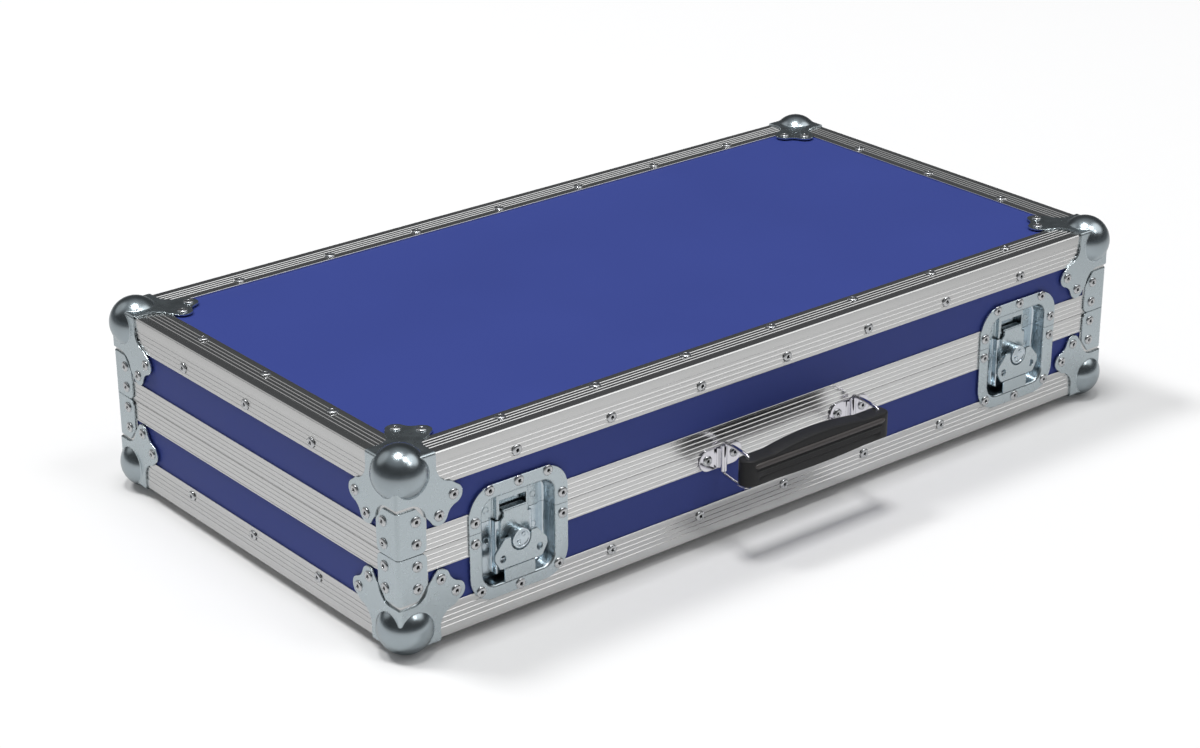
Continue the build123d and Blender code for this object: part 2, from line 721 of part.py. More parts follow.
def grip_centre():
    """Middle of the grip at rest: the brackets' middle, carried by the swung loops."""
    swing = radians(HANDLE_REST)
    return Pos(-LOOP_REACH * sin(swing), -HY - BARREL_OUT - LOOP_REACH * cos(swing), HANDLE_Z)


def handle_grip():
    """Moulded grip: round ends for the loops, a crowned middle and a long raised rib."""
    reach = BRACKET_X + GRIP_R
    crown = [
        Line((-reach, -GRIP_END_HALF), (-reach, GRIP_END_HALF)),
        Line((-reach, GRIP_END_HALF), (-GRIP_SHOULDER_HALF, GRIP_END_HALF)),
        ThreePointArc((-GRIP_SHOULDER_HALF, GRIP_END_HALF), (0, GRIP_CROWN),
                      (GRIP_SHOULDER_HALF, GRIP_END_HALF)),
        Line((GRIP_SHOULDER_HALF, GRIP_END_HALF), (reach, GRIP_END_HALF)),
        Line((reach, GRIP_END_HALF), (reach, -GRIP_END_HALF)),
        Line((reach, -GRIP_END_HALF), (GRIP_SHOULDER_HALF, -GRIP_END_HALF)),
        ThreePointArc((GRIP_SHOULDER_HALF, -GRIP_END_HALF), (0, -GRIP_BELLY),
                      (-GRIP_SHOULDER_HALF, -GRIP_END_HALF)),
        Line((-GRIP_SHOULDER_HALF, -GRIP_END_HALF), (-reach, -GRIP_END_HALF)),
    ]
    front = extrude(Plane.XZ * make_face(crown), amount=GRIP_R, both=True)
    plan = extrude(SlotOverall(2 * reach, 2 * GRIP_R), amount=2 * GRIP_CROWN, both=True)
    grip = front & plan
    for side in (-1, 1):
        grip = grip - Pos(side * BRACKET_X, 0, 0) * small_bore(WIRE_R + FIT_CLEAR, 4 * GRIP_CROWN)
    rib = Rot(0, 90, 0) * small_rod(GRIP_RIB_R, 2 * GRIP_RIB_HALF)
    sink = GRIP_RIB_R - GRIP_RIB_PROUD
    return grip + Pos(0, -GRIP_R + sink, GRIP_RIB_UP) * rib


def make_handle():
    """Two brackets, two loops and the grip."""
    bracket = handle_bracket()
    save("handle_brackets", Pos(-BRACKET_X, 0, 0) * bracket, Pos(BRACKET_X, 0, 0) * bracket)
    loop = handle_loop()
    save("handle_loop_left", Pos(-BRACKET_X, 0, 0) * loop)
    save("handle_loop_right", Pos(BRACKET_X, 0, 0) * loop)
    save("handle_grip", grip_centre() * handle_grip())


def hinge_leaf(segments, up):
    """One leaf at the back: its plate, and the knuckles that it owns, about the pin at the seam."""
    turn = 1 if up else -1
    width = HINGE_W / KNUCKLE_COUNT
    plate = block(-HINGE_W / 2, HINGE_W / 2, HY, HY + HINGE_SHEET, turn * HINGE_LEAF_DROP,
                  turn * HINGE_LEAF_H)
    for index in segments:
        middle = (index - (KNUCKLE_COUNT - 1) / 2) * width
        length = width - KNUCKLE_GAP
        knuckle = Rot(0, 90, 0) * small_rod(KNUCKLE_R, length)
        plate = plate + Pos(middle, HY + HINGE_OUT, 0) * knuckle
        plate = plate + block(middle - length / 2, middle + length / 2, HY + KNUCKLE_GAP,
                              HY + HINGE_SHEET, 0, turn * HINGE_LEAF_DROP)
    bore = Pos(0, HY + HINGE_OUT, 0) * Rot(0, 90, 0)
    plate = plate - bore * small_bore(HINGE_PIN_R + FIT_CLEAR, 2 * HINGE_W)
    return Pos(0, 0, SEAM_Z) * plate


def make_hinges():
    """Two leaf hinges behind the case with their pins."""
    outer = [index for index in range(KNUCKLE_COUNT) if index % 2 == 0]
    inner = [index for index in range(KNUCKLE_COUNT) if index % 2 == 1]
    base_leaf = hinge_leaf(outer, False)
    lid_leaf = hinge_leaf(inner, True)
    pin = Pos(0, HY + HINGE_OUT, SEAM_Z) * Rot(0, 90, 0) * Cylinder(HINGE_PIN_R, HINGE_W)
    places = [Pos(side * HINGE_X, 0, 0) for side in (-1, 1)]
    save("hinge_base_leaves", *[place * base_leaf for place in places])
    save("hinge_lid_leaves", *[place * lid_leaf for place in places])
    save("hinge_pins", *[place * pin for place in places])


make_edges()
make_closers()
make_panels()
make_corner_angles()
make_ball_corners()
make_braces()
make_foam()
make_latch_housings()
make_latch_movements()
make_handle()
make_hinges()
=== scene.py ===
# %% [markdown]
# # A flight case for a lighting console
# Each step is a text cell, such as this one, and then a code cell that can be run on its own after those
# above. The rigid parts come from the CAD model, which is loaded first and never moved. Pieces that need
# softer edges, thinner ribs or smoother curves than the CAD has are made here and stand in for its parts.

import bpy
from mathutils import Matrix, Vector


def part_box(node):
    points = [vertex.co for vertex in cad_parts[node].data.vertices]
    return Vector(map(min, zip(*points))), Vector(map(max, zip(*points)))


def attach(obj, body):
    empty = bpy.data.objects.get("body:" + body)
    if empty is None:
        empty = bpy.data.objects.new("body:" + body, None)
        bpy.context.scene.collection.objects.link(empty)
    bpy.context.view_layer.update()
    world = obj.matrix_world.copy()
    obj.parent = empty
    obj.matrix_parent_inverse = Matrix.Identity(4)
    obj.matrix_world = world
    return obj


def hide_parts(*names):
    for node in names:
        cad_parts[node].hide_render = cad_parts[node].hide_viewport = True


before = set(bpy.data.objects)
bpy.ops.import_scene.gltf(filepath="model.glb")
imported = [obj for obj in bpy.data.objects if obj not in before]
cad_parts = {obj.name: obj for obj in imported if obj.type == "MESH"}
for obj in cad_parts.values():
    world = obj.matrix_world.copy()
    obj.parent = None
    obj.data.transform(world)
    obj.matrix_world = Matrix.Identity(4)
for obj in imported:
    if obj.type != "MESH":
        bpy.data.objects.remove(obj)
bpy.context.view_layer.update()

# %% [markdown]
# ## Working in the case's own millimetres
# Makers of cases measure from the outside faces of the box, in millimetres. The floor panel of the CAD model
# is centred on the case and lies one sheet thickness above its underside, so it gives the shift between
# those measurements and Blender's metres. Every builder below makes its mesh in case millimetres, and one
# function, `piece`, moves it into place at the end.

# %% Case sizes and the step from millimetres to the frame
from math import acos, atan2, cos, degrees, pi, radians, sin, sqrt, tan

import bmesh
import bpy
from mathutils import Matrix, Vector
from mathutils.noise import noise_vector, seed_set

LENGTH = 874.0
WIDTH = 454.0
HEIGHT = 174.0
SEAM = HEIGHT / 2
SEAM_GAP = 0.4
HALF_X = LENGTH / 2
HALF_Y = WIDTH / 2
SHEET = 1.6
panel_low, panel_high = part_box("base_floor_panel")
shift = Vector(((panel_low.x + panel_high.x) / 2, (panel_low.y + panel_high.y) / 2,
                panel_low.z - SHEET / 1000))
TO_FRAME = Matrix.Translation(shift) @ Matrix.Scale(0.001, 4)
print("case origin in the frame", [round(v, 5) for v in shift])

# %% [markdown]
# ## Small mesh tools
# Four kinds of metalwork make up the case: drawn sections, pressed sheet, turned parts and bent wire. One
# tool serves each kind. A drawn section is an outline skinned from end to end. A sheet plate is a filled 2D
# curve, because Blender's curve bevel rounds its rim and its holes in one go. A turned part is a profile spun
# round an axis. A wire is a curve with a round bevel.

# %% Mesh tools: faces from points, moving, joining
def settled(shape):
    """Mesh of an edited shape, which is then freed."""
    mesh = bpy.data.meshes.new("shape")
    shape.to_mesh(mesh)
    shape.free()
    return mesh


def mesh_from(points, faces):
    """New mesh with its faces turned outward."""
    shape = bmesh.new()
    corners = [shape.verts.new(p) for p in points]
    for face in faces:
        shape.faces.new([corners[i] for i in face])
    bmesh.ops.recalc_face_normals(shape, faces=shape.faces)
    return settled(shape)


def at(u=0.0, v=0.0, out=0.0):
    """Matrix of a plain shift."""
    return Matrix.Translation((u, v, out))


def moved(mesh, matrix):
    """A moved copy; a mirrored copy gets its faces turned back outward."""
    copy = mesh.copy()
    copy.transform(matrix)
    if matrix.determinant() < 0:
        copy.flip_normals()
    return copy


def copies(meshes, *places):
    """Moved copies of all the meshes, at one place after another."""
    return [moved(mesh, place) for place in places for mesh in meshes]


def joined(meshes):
    """One mesh of several, which keeps the numbers of their material slots."""
    shape = bmesh.new()
    for mesh in meshes:
        shape.from_mesh(mesh)
    return settled(shape)


def painted(mesh, finishes, number=0):
    """Give a mesh a piece's finishes, and all its faces the one with this number."""
    for metal in finishes:
        mesh.materials.append(metal)
    for polygon in mesh.polygons:
        polygon.material_index = number
    return mesh


def piece(name, meshes, body, finishes, replaces=(), crease=32):
    """Make one object of the case from meshes in case millimetres, and let it ride on a body."""
    mesh = joined(meshes)
    mesh.transform(TO_FRAME)
    mesh.name = name
    for metal in finishes:
        mesh.materials.append(metal)
    mesh.shade_smooth()
    mesh.set_sharp_from_angle(angle=radians(crease))
    thing = bpy.data.objects.new(name, mesh)
    bpy.context.scene.collection.objects.link(thing)
    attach(thing, body)
    if replaces:
        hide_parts(*replaces)
    print(name, len(mesh.polygons), "faces")
    return thing


# %% Outlines: arcs, rounded corners and rounded rectangles
def arc(centre, radius, start, end, steps):
    """Points along an arc, its angles in degrees."""
    turns = [radians(start + (end - start) * i / steps) for i in range(steps + 1)]
    return [(centre[0] + radius * cos(t), centre[1] + radius * sin(t)) for t in turns]


NEARLY_STRAIGHT = 0.05
SHARE_OF_SIDE = 0.45


def soften(points, steps=3, radius=0.0):
    """Round the corners of a closed outline; a point may carry its own radius as a third number."""
    result = []
    for i, point in enumerate(points):
        here = Vector(point[:2])
        before = Vector(points[i - 1][:2]) - here
        after = Vector(points[(i + 1) % len(points)][:2]) - here
        wanted = point[2] if len(point) > 2 else radius
        angle = before.angle(after, 0.0)
        if wanted <= 0 or angle < NEARLY_STRAIGHT or angle > pi - NEARLY_STRAIGHT:
            result.append(tuple(here))
            continue
        reach = min(wanted / tan(angle / 2), before.length * SHARE_OF_SIDE, after.length * SHARE_OF_SIDE)
        first = here + before.normalized() * reach
        last = here + after.normalized() * reach
        for k in range(steps + 1):
            t = k / steps
            result.append(tuple(first * (1 - t) ** 2 + here * 2 * t * (1 - t) + last * t * t))
    return result


def both_sides(right):
    """Outline of a right half and its mirror image, as one loop."""
    return right + [(-point[0], *point[1:]) for point in reversed(right)]


def rounded_box(width, low, high, radius):
    """Outline of a rectangle centred across, from low to high, with round corners."""
    side = width / 2 - radius
    middles = ((side, high - radius), (-side, high - radius), (-side, low + radius), (side, low + radius))
    quarters = [arc(middle, radius, 90 * i, 90 * i + 90, 8) for i, middle in enumerate(middles)]
    return [point for quarter in quarters for point in quarter]


# %% Sheet plates, wires, turned parts and lofted rings
def curve_mesh(loops, **settings):
    """Mesh of closed loops of points as one bevelled curve."""
    curve = bpy.data.curves.new("curve", "CURVE")
    for name, value in settings.items():
        setattr(curve, name, value)
    for loop in loops:
        spline = curve.splines.new("POLY")
        spline.points.add(len(loop) - 1)
        for point, place in zip(spline.points, loop):
            point.co = (*place, 1)
        spline.use_cyclic_u = True
    holder = bpy.data.objects.new("curve", curve)
    mesh = bpy.data.meshes.new_from_object(holder)
    mesh.materials.clear()
    bpy.data.objects.remove(holder)
    return mesh


def sheet_plate(outline, thick, rim=0.3, holes=()):
    """Flat plate with a rounded rim, from height 0 to its thickness."""
    loops = [[(u, v, 0) for u, v in loop] for loop in (outline, *holes)]
    mesh = curve_mesh(loops, dimensions="2D", fill_mode="BOTH", bevel_depth=rim, bevel_resolution=1,
                      offset=-rim, extrude=thick / 2 - rim)
    mesh.transform(at(out=thick / 2))
    return mesh


def turned(profile, sides=32):
    """Spin (radius, height) points round the upright axis."""
    turns = [2 * pi * i / sides for i in range(sides)]
    points, rings, faces = [], [], []
    for radius, height in profile:
        first = len(points)
        if radius == 0:
            rings.append([first] * sides)
            points.append((0, 0, height))
        else:
            rings.append(list(range(first, first + sides)))
            points += [(radius * cos(t), radius * sin(t), height) for t in turns]
    for near, far in zip(rings, rings[1:]):
        for i in range(sides):
            j = (i + 1) % sides
            faces.append(list(dict.fromkeys([near[i], near[j], far[j], far[i]])))
    return mesh_from(points, faces)


def lofted(rings, closed=False):
    """Skin over rings of points that all have the same count, with end caps unless the rings close."""
    count = len(rings[0])
    points = [p for ring in rings for p in ring]
    faces = []
    for r in range(len(rings) if closed else len(rings) - 1):
        a = r * count
        b = (r + 1) % len(rings) * count
        faces += [(a + i, a + (i + 1) % count, b + (i + 1) % count, b + i) for i in range(count)]
    if not closed:
        faces += [tuple(range(count)), tuple(range(len(points) - count, len(points)))]
    return mesh_from(points, faces)


# %% [markdown]
# ## Where a fitting sits on the case
# Every bought fitting is drawn flat, as if it lay on a bench: u runs across, v runs up, and the third
# direction points out of the case. `on_face` stands it against one face of the case. Mirroring in the middle
# planes then gives the other corners, and mirroring in the seam plane gives the lid's twin of a base piece.

# %% Places on the faces, and mirror planes
X = Vector((1, 0, 0))
Y = Vector((0, 1, 0))
Z = Vector((0, 0, 1))
AXES = {
    "front": (X, Z, -Y, -HALF_Y * Y),
    "back": (-X, Z, Y, HALF_Y * Y),
    "left": (-Y, Z, -X, -HALF_X * X),
    "right": (Y, Z, X, HALF_X * X),
    "top": (X, Y, Z, HEIGHT * Z),
    "bottom": (X, -Y, -Z, 0 * Z),
}
SIDES = ("front", "back", "left", "right")
LONG_SIDES = ("front", "back")


def laid(across, up, outward, origin=(0, 0, 0)):
    """Matrix that lays the three bench directions along given directions, from an origin."""
    matrix = Matrix((across, up, outward)).transposed().to_4x4()
    matrix.translation = origin
    return matrix


def on_face(side, u=0.0, v=0.0, out=0.0):
    """Matrix that stands bench coordinates (u, v, out) against a face of the case."""
    across, up, outward, origin = AXES[side]
    return laid(across, up, outward, origin + across * u + up * v + outward * out)


MIRROR_X = Matrix.Diagonal((-1, 1, 1, 1))
MIRROR_Y = Matrix.Diagonal((1, -1, 1, 1))
TO_LID = at(out=2 * SEAM) @ Matrix.Diagonal((1, 1, -1, 1))
FOUR = [Matrix.Identity(4), MIRROR_X, MIRROR_Y, MIRROR_X @ MIRROR_Y]


def both_halves(name, meshes, finishes, node):
    """A piece on the base, and its twin on the lid."""
    piece(f"base_{name}", meshes, "base", finishes, [f"base_{node}"])
    piece(f"lid_{name}", copies(meshes, TO_LID), "lid", finishes, [f"lid_{node}"])


# %% [markdown]
# ## Finishes
# The case has few finishes, and most of them are bare metal: anodised aluminium, bright zinc plate and nickel
# plate. Metal takes its look from what it mirrors, so the base colours are pale and the work goes into
# roughness and bump: fine draw lines along a section, faint clouds in the zinc, small marks from handling.
# Each material mixes a fine noise, scaled to the real size of the grain, with a coarse one.

# %% Helpers that wire noise into a shader
def feed(tree, node, inputs):
    """Give each socket a plain value or another node's output."""
    for name, value in inputs.items():
        if isinstance(value, bpy.types.NodeSocket):
            tree.links.new(value, node.inputs[name])
        else:
            node.inputs[name].default_value = value


def add(tree, kind, inputs=None, **settings):
    """New shader node with its settings and inputs."""
    node = tree.nodes.new("ShaderNode" + kind)
    for name, value in settings.items():
        setattr(node, name, value)
    feed(tree, node, inputs or {})
    return node


NOISE_LOW = 0.3
NOISE_HIGH = 0.7


def finish(name, colour, metallic=0.0, roughness=0.4, grain=(400,) * 3, detail=3.0, colour_swing=0.06,
           rough_swing=0.08, bump=0.1, bump_mm=0.02, clouds=30.0, specular=0.5):
    """Material with one stretched noise for colour, roughness and bump, and a second, coarser one."""
    material = bpy.data.materials.new(name)
    material.use_nodes = True
    tree = material.node_tree
    place = add(tree, "TexCoord").outputs["Object"]
    stretched = add(tree, "Mapping", {"Vector": place, "Scale": grain}).outputs["Vector"]
    fine = add(tree, "TexNoise", {"Vector": stretched, "Scale": 1.0, "Detail": detail}).outputs["Fac"]
    coarse = add(tree, "TexNoise", {"Vector": place, "Scale": clouds, "Detail": 4.0}).outputs["Fac"]
    both = add(tree, "Mix", {"Factor": 0.5, "A": fine, "B": coarse}).outputs["Result"]
    ramp = add(tree, "ValToRGB", {"Fac": both})
    for stop, position, share in zip(ramp.color_ramp.elements, (NOISE_LOW, NOISE_HIGH),
                                     (1 - colour_swing, 1 + colour_swing)):
        stop.position = position
        stop.color = [min(1.0, c * share) for c in colour] + [1]
    rough = add(tree, "MapRange", {"Value": both, "From Min": NOISE_LOW, "From Max": NOISE_HIGH,
                                   "To Min": max(0.02, roughness - rough_swing),
                                   "To Max": roughness + rough_swing})
    relief = add(tree, "Bump", {"Height": fine, "Strength": bump, "Distance": bump_mm / 1000})
    feed(tree, tree.nodes["Principled BSDF"], {
        "Base Color": ramp.outputs["Color"], "Roughness": rough.outputs["Result"],
        "Normal": relief.outputs["Normal"], "Metallic": metallic, "Specular IOR Level": specular})
    return material


# %% The finishes of this case
blue_laminate = finish("blue laminate", (0.036, 0.055, 0.240), roughness=0.5, grain=(900,) * 3,
                       colour_swing=0.05, rough_swing=0.06, bump=0.25, bump_mm=0.05, clouds=6.0,
                       specular=0.2)
DRAWN = dict(colour=(0.70, 0.70, 0.695), metallic=1.0, roughness=0.25, colour_swing=0.01,
             rough_swing=0.015, bump=0.03, bump_mm=0.01, clouds=5.0)
drawn_long = finish("aluminium drawn lengthwise", grain=(1.5, 700, 700), **DRAWN)
drawn_wide = finish("aluminium drawn across", grain=(700, 1.5, 700), **DRAWN)
drawn_up = finish("aluminium drawn upright", grain=(700, 700, 1.5), **DRAWN)
zinc_plate = finish("bright zinc plate", (0.57, 0.64, 0.67), 1.0, 0.27, (120,) * 3, detail=6.0,
                    colour_swing=0.035, rough_swing=0.05, bump=0.05, bump_mm=0.03)
# A darker copy of the zinc plate: painted shade that darkens the balls' reflections; the pins take it too.
zinc_with_painted_shade = finish("zinc plate darkened as painted shade on the pressed balls", (0.44, 0.50, 0.53), 1.0, 0.23, (120,) * 3,
                   detail=5.0, colour_swing=0.05, rough_swing=0.05, bump=0.04, bump_mm=0.03, clouds=40.0)
# A lighter copy of the zinc plate: painted light in the shaded hollow of the latch dish; the bed plate and
# the knob in the dish take it too.
zinc_with_painted_light = finish("zinc plate lightened as painted light deep in the dish", (0.66, 0.74, 0.79), 1.0, 0.22, (150,) * 3,
                    detail=5.0, rough_swing=0.06, bump_mm=0.06, clouds=60.0)
nickel_wire = finish("bright nickel plate", (0.80, 0.79, 0.84), 1.0, 0.1, (300,) * 3,
                     colour_swing=0.03, rough_swing=0.04, bump=0.05, clouds=50.0)
rivet_head = finish("aluminium rivet head", (0.66, 0.67, 0.68), 1.0, 0.27, (900,) * 3, bump=0.15,
                    clouds=300.0)
# The mandrel's end is coloured nearly black: painted shade of the rivet's hole.
rivet_hole_shade = finish("mandrel end nearly black as painted hole shade", (0.012, 0.012, 0.014), 0.6, 0.6, (900,) * 3)
grip_plastic = finish("black moulded grip", (0.020, 0.020, 0.021), 0.0, 0.45, (1500,) * 3,
                      colour_swing=0.1, rough_swing=0.06, bump=0.15, bump_mm=0.04, clouds=25.0,
                      specular=0.25)
# A lighter, brownish copy of the grip plastic: a painted highlight along the upper rib.
rib_plastic_highlight = finish("grip rib lightened as a painted highlight", (0.062, 0.055, 0.054), 0.0, 0.34, (60, 1500, 1500),
                     colour_swing=0.12, bump_mm=0.03, clouds=40.0, specular=0.45)
foam = finish("charcoal foam", (0.040, 0.040, 0.044), 0.0, 0.95, (700,) * 3, detail=6.0,
              colour_swing=0.35, bump=0.9, bump_mm=0.6, clouds=90.0, specular=0.1)
print("finishes", len(bpy.data.materials))

# %% [markdown]
# ## Laminated panels
# The walls, floor and top are flat birch plywood with a blue laminate. Flat sheets need no new mesh: the
# CAD panels are right as they are and only take the laminate.

# %% Panels keep their CAD shape
for name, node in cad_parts.items():
    if "wall" in name or "panel" in name:
        node.data.materials.clear()
        node.data.materials.append(blue_laminate)
        print(name, "takes the laminate")

# %% [markdown]
# ## Aluminium edge sections
# The edges are drawn double angles. What the eye picks out is the bright line along the broken outer corner
# and along the thin ribs that run the length of each leg. The section is drawn once with sloping sides on
# every rib, then swept along each edge and cut to a 45 degree mitre. Modelled ribs catch the light from any
# side, which a bump map on a flat leg would not.

# %% Ribbed sections
def ribs(first, pitch, width, deep, side_groove):
    """Points (along, depth, radius) of three ribs with sloping sides between shallow grooves."""
    edge_in = first - width / 2 - side_groove
    points = [(edge_in - deep, 0, 0.1), (edge_in, deep, 0)]
    for middle in (first, first + pitch, first + 2 * pitch):
        foot = width / 2
        crest = foot - deep
        points += [(middle - foot, deep, 0), (middle - crest, 0, 0.1), (middle + crest, 0, 0.1),
                   (middle + foot, deep, 0)]
    edge_out = first + 2 * pitch + width / 2 + side_groove
    return points + [(edge_out, deep, 0), (edge_out + deep, 0, 0.1)]


EDGE_LEG = 31.0
INNER_LEG = 24.0
SLOT_END = 12.0
PLY_IN = SHEET + 7.0
INNER_FACE = PLY_IN + SHEET


def edge_section():
    """Double angle as (depth, height) points with their corner radii."""
    inside = [(EDGE_LEG, 0, 0.6), (EDGE_LEG, SHEET, 0.3), (SLOT_END, SHEET, 0), (SLOT_END, PLY_IN, 0),
              (INNER_LEG, PLY_IN, 0.4), (INNER_LEG, INNER_FACE, 0.4)]
    flat_leg = ribs(11.9, 4.35, 2.0, 0.42, 2.35) + inside
    upright_leg = ribs(13.65, 4.7, 2.14, 0.42, 2.56) + inside
    turned_up = [(height, depth, radius) for depth, height, radius in reversed(upright_leg)]
    broken_edge = [(0, 1.1, 0.4), (1.1, 0, 0.4)]
    return soften(broken_edge + flat_leg + [(INNER_FACE, INNER_FACE, 0.8)] + turned_up)


CLOSER_SKIRT = 20.0
CLOSER_INNER_SKIRT = 14.0
CLOSER_WEB = 6.0


def closer_section(tongue):
    """Closing section as (depth, height from the seam), with a tongue or a groove on its seam face."""
    face = SEAM_GAP / 2
    outside = [(depth, along, radius) for along, depth, radius in ribs(5.05, 4.5, 1.3, 0.4, 3.2)]
    shape = [(0, face, 0.35)] + outside
    shape += [(0, CLOSER_SKIRT, 0.5), (SHEET, CLOSER_SKIRT, 0.3), (SHEET, CLOSER_WEB, 0),
              (PLY_IN, CLOSER_WEB, 0), (PLY_IN, CLOSER_INNER_SKIRT, 0.3),
              (INNER_FACE, CLOSER_INNER_SKIRT, 0.3), (INNER_FACE, face, 0.5)]
    if tongue:
        shape += [(6.6, face, 0), (6.3, -2.8, 0.4), (4.7, -2.8, 0.4), (4.4, face, 0)]
    else:
        shape += [(7.4, face, 0.3), (7.1, face + 3.6, 0), (3.9, face + 3.6, 0), (3.6, face, 0.3)]
    return soften(shape)


# %% Sections swept along the sides
MITRE_TIP = 4.0


def bar(section, side, spans=None):
    """Sweep a section along one side, over spans or from mitre to mitre, without the tips under the balls."""
    half = HALF_X if side in LONG_SIDES else HALF_Y
    meshes = []
    for span in spans or [(-half, half)]:
        rings = []
        for hand, end in zip((-1, 1), span):
            rings.append([(end if abs(end) < half else hand * (half - max(depth, MITRE_TIP)), height, -depth)
                          for depth, height in section])
        meshes.append(moved(lofted(rings), on_face(side)))
    return meshes


LATCH_X = 311.2
DISH_CUT = 40.95
latch_gaps = [(-HALF_X, -LATCH_X - DISH_CUT), (-LATCH_X + DISH_CUT, LATCH_X - DISH_CUT),
              (LATCH_X + DISH_CUT, HALF_X)]
edge = edge_section()
for side in SIDES:
    metal = drawn_long if side in LONG_SIDES else drawn_wide
    both_halves(f"edge_section_{side}", bar(edge, side), [metal], f"edge_{side}")
    for body, turn in (("base", -1), ("lid", 1)):
        section = [(depth, SEAM + turn * height) for depth, height in closer_section(body == "lid")]
        spans = latch_gaps if side == "front" else None
        piece(f"{body}_closing_section_{side}", bar(section, side, spans), body, [metal],
              [f"{body}_closer_{side}"])

# %% [markdown]
# ## Upright corner angles
# Between the edge sections and the closing sections a plain angle covers each upright corner. Most of it is
# hidden by the corner braces. It is an extrusion too, with a rounded outer corner.

# %% Corner angles
LEG = 30.0
outline = soften([(0, 0, 1.1), (LEG, 0, 0.5), (LEG, SHEET, 0.3), (SHEET, SHEET, 0.3), (SHEET, LEG, 0.3),
                  (0, LEG, 0.5)])
angle = lofted([[(x - HALF_X, y - HALF_Y, z) for x, y in outline] for z in (EDGE_LEG, SEAM - CLOSER_SKIRT)])
both_halves("upright_angles", copies([angle], *FOUR), [drawn_up], "corner_angles")

# %% [markdown]
# ## Pop rivets
# A pop rivet has a low domed head with a hole in the middle, and the broken end of its mandrel sits in that
# hole. That end is coloured nearly black, as painted shade of the hole. There are about two hundred, so the
# head is turned once and copied to each place. The copies of one panel edge are joined into one piece, which
# keeps the list of objects short.

# %% One rivet, and a function that sets a group of them
RIVET_FINISHES = [rivet_head, rivet_hole_shade]
head = turned([(5.0, 0.0), (5.0, 0.5), (4.8, 0.95), (4.2, 1.3), (3.3, 1.55), (2.4, 1.68), (1.95, 1.66),
               (1.7, 1.4), (1.6, 0.3)], 24)
# The mandrel's end in the hole, which takes the nearly black painted shade.
core = turned([(1.6, 0.3), (0.8, 0.3), (0.65, 0.7), (0, 0.8)], 24)
RIVET = joined([painted(head, RIVET_FINISHES, 0), painted(core, RIVET_FINISHES, 1)])


def set_rivets(name, body, places):
    """Rivet heads at (side, u, v, out) places, as one piece."""
    heads = copies([RIVET], *(on_face(*place) for place in places))
    print(len(places), "rivets")
    return piece(name, heads, body, RIVET_FINISHES, crease=50)


EDGE_RIVET = 22.5
LONG_ROW = [103.9 * i for i in range(-3, 4)]
SHORT_ROW = [-103.7, 0.0, 103.7]
for body, level, height, flip in (("base", "bottom", EDGE_RIVET, -1), ("lid", "top", HEIGHT - EDGE_RIVET, 1)):
    for side in SIDES:
        row = LONG_ROW if side in LONG_SIDES else SHORT_ROW
        dishes_in_the_way = body == "base" and side == "front"
        upright = [(side, u, height, 0) for u in row if abs(u) < 300 or not dishes_in_the_way]
        inset = (HALF_Y if side in LONG_SIDES else HALF_X) - EDGE_RIVET
        flat = {"front": [(level, u, -inset * flip, 0) for u in row],
                "back": [(level, u, inset * flip, 0) for u in row],
                "left": [(level, -inset, v, 0) for v in row],
                "right": [(level, inset, v, 0) for v in row]}[side]
        set_rivets(f"{body}_edge_rivets_{side}", body, upright + flat)

# %% [markdown]
# ## Ball corners
# A ball corner is pressed from one sheet: three winged faces, a ball where they meet, and a crease down each
# edge. The ball is a true sphere, so it is made as one, and a narrow ring with a hollow profile
# blends it into each face, as the press tool does. The wings are sheet plates cut to the
# two-lobed outline, and a quarter round joins each pair along the case's edge.

# %% One ball corner at the case's lower left front corner
BALL_R = 25.0
BALL_IN = 15.2
BALL_SHEET = 1.8
BALL_BEND = 2.6
UNDER_BALL = 16.0
NECK = 40.3
LOBES = [(57.2, 41.7), (41.7, 57.2)]


def wing_outline():
    """Outline of one winged face, measured from the case's corner."""
    run = 54.8 - NECK
    rise = 28.4 - 12.0
    flare_r = (run * run + rise * rise) / (2 * run)
    half = arc((NECK + flare_r, 12.0), flare_r, 180, 180 - degrees(acos(1 - run / flare_r)), 8)
    half += arc(LOBES[0], 9.3, -65, 73.7, 12) + arc((63.59, 63.59), 13.5, 253.7, 227, 4)
    first = BALL_BEND - BALL_SHEET - 0.3
    start = [(first, UNDER_BALL), (UNDER_BALL, first), (NECK, first)]
    return start + half + [(y, x) for x, y in reversed(half)] + [(first, NECK)]


def ball_cap():
    """The part of the ball that stands clear of the three faces."""
    ball = bmesh.new()
    bmesh.ops.create_icosphere(ball, subdivisions=5, radius=BALL_R)
    bmesh.ops.translate(ball, vec=(BALL_IN, BALL_IN, BALL_IN), verts=ball.verts)
    buried = [face for face in ball.faces if min(face.calc_center_median()) > 0.5]
    bmesh.ops.delete(ball, geom=buried, context="FACES")
    return settled(ball)


def blend_ring(hollow=1.6, turns=96):
    """Hollow ring between the ball and one face, on the face's bench plane."""
    drop = BALL_IN + BALL_SHEET
    middle = sqrt((BALL_R + hollow) ** 2 - (drop + hollow) ** 2)
    lean = degrees(atan2(middle, drop + hollow))
    profile = arc((middle, BALL_SHEET + hollow), hollow, -90, -90 - lean, 4)
    count = len(profile)
    points, faces = [], []
    for i in range(turns):
        turn = 2 * pi * i / turns
        points += [(BALL_IN + r * cos(turn), BALL_IN + r * sin(turn), h + 0.02) for r, h in profile]
    for i in range(turns):
        a = i * count
        b = (i + 1) % turns * count
        off_the_edge = min(points[a][:2] + points[b][:2]) < -0.9
        towards_the_corner = sum(points[a][:2]) < BALL_IN
        if not (off_the_edge or towards_the_corner):
            faces += [(a + k, b + k, b + k + 1, a + k + 1) for k in range(count - 1)]
    mesh = bpy.data.meshes.new("ring")
    mesh.from_pydata(points, [], faces)
    return mesh


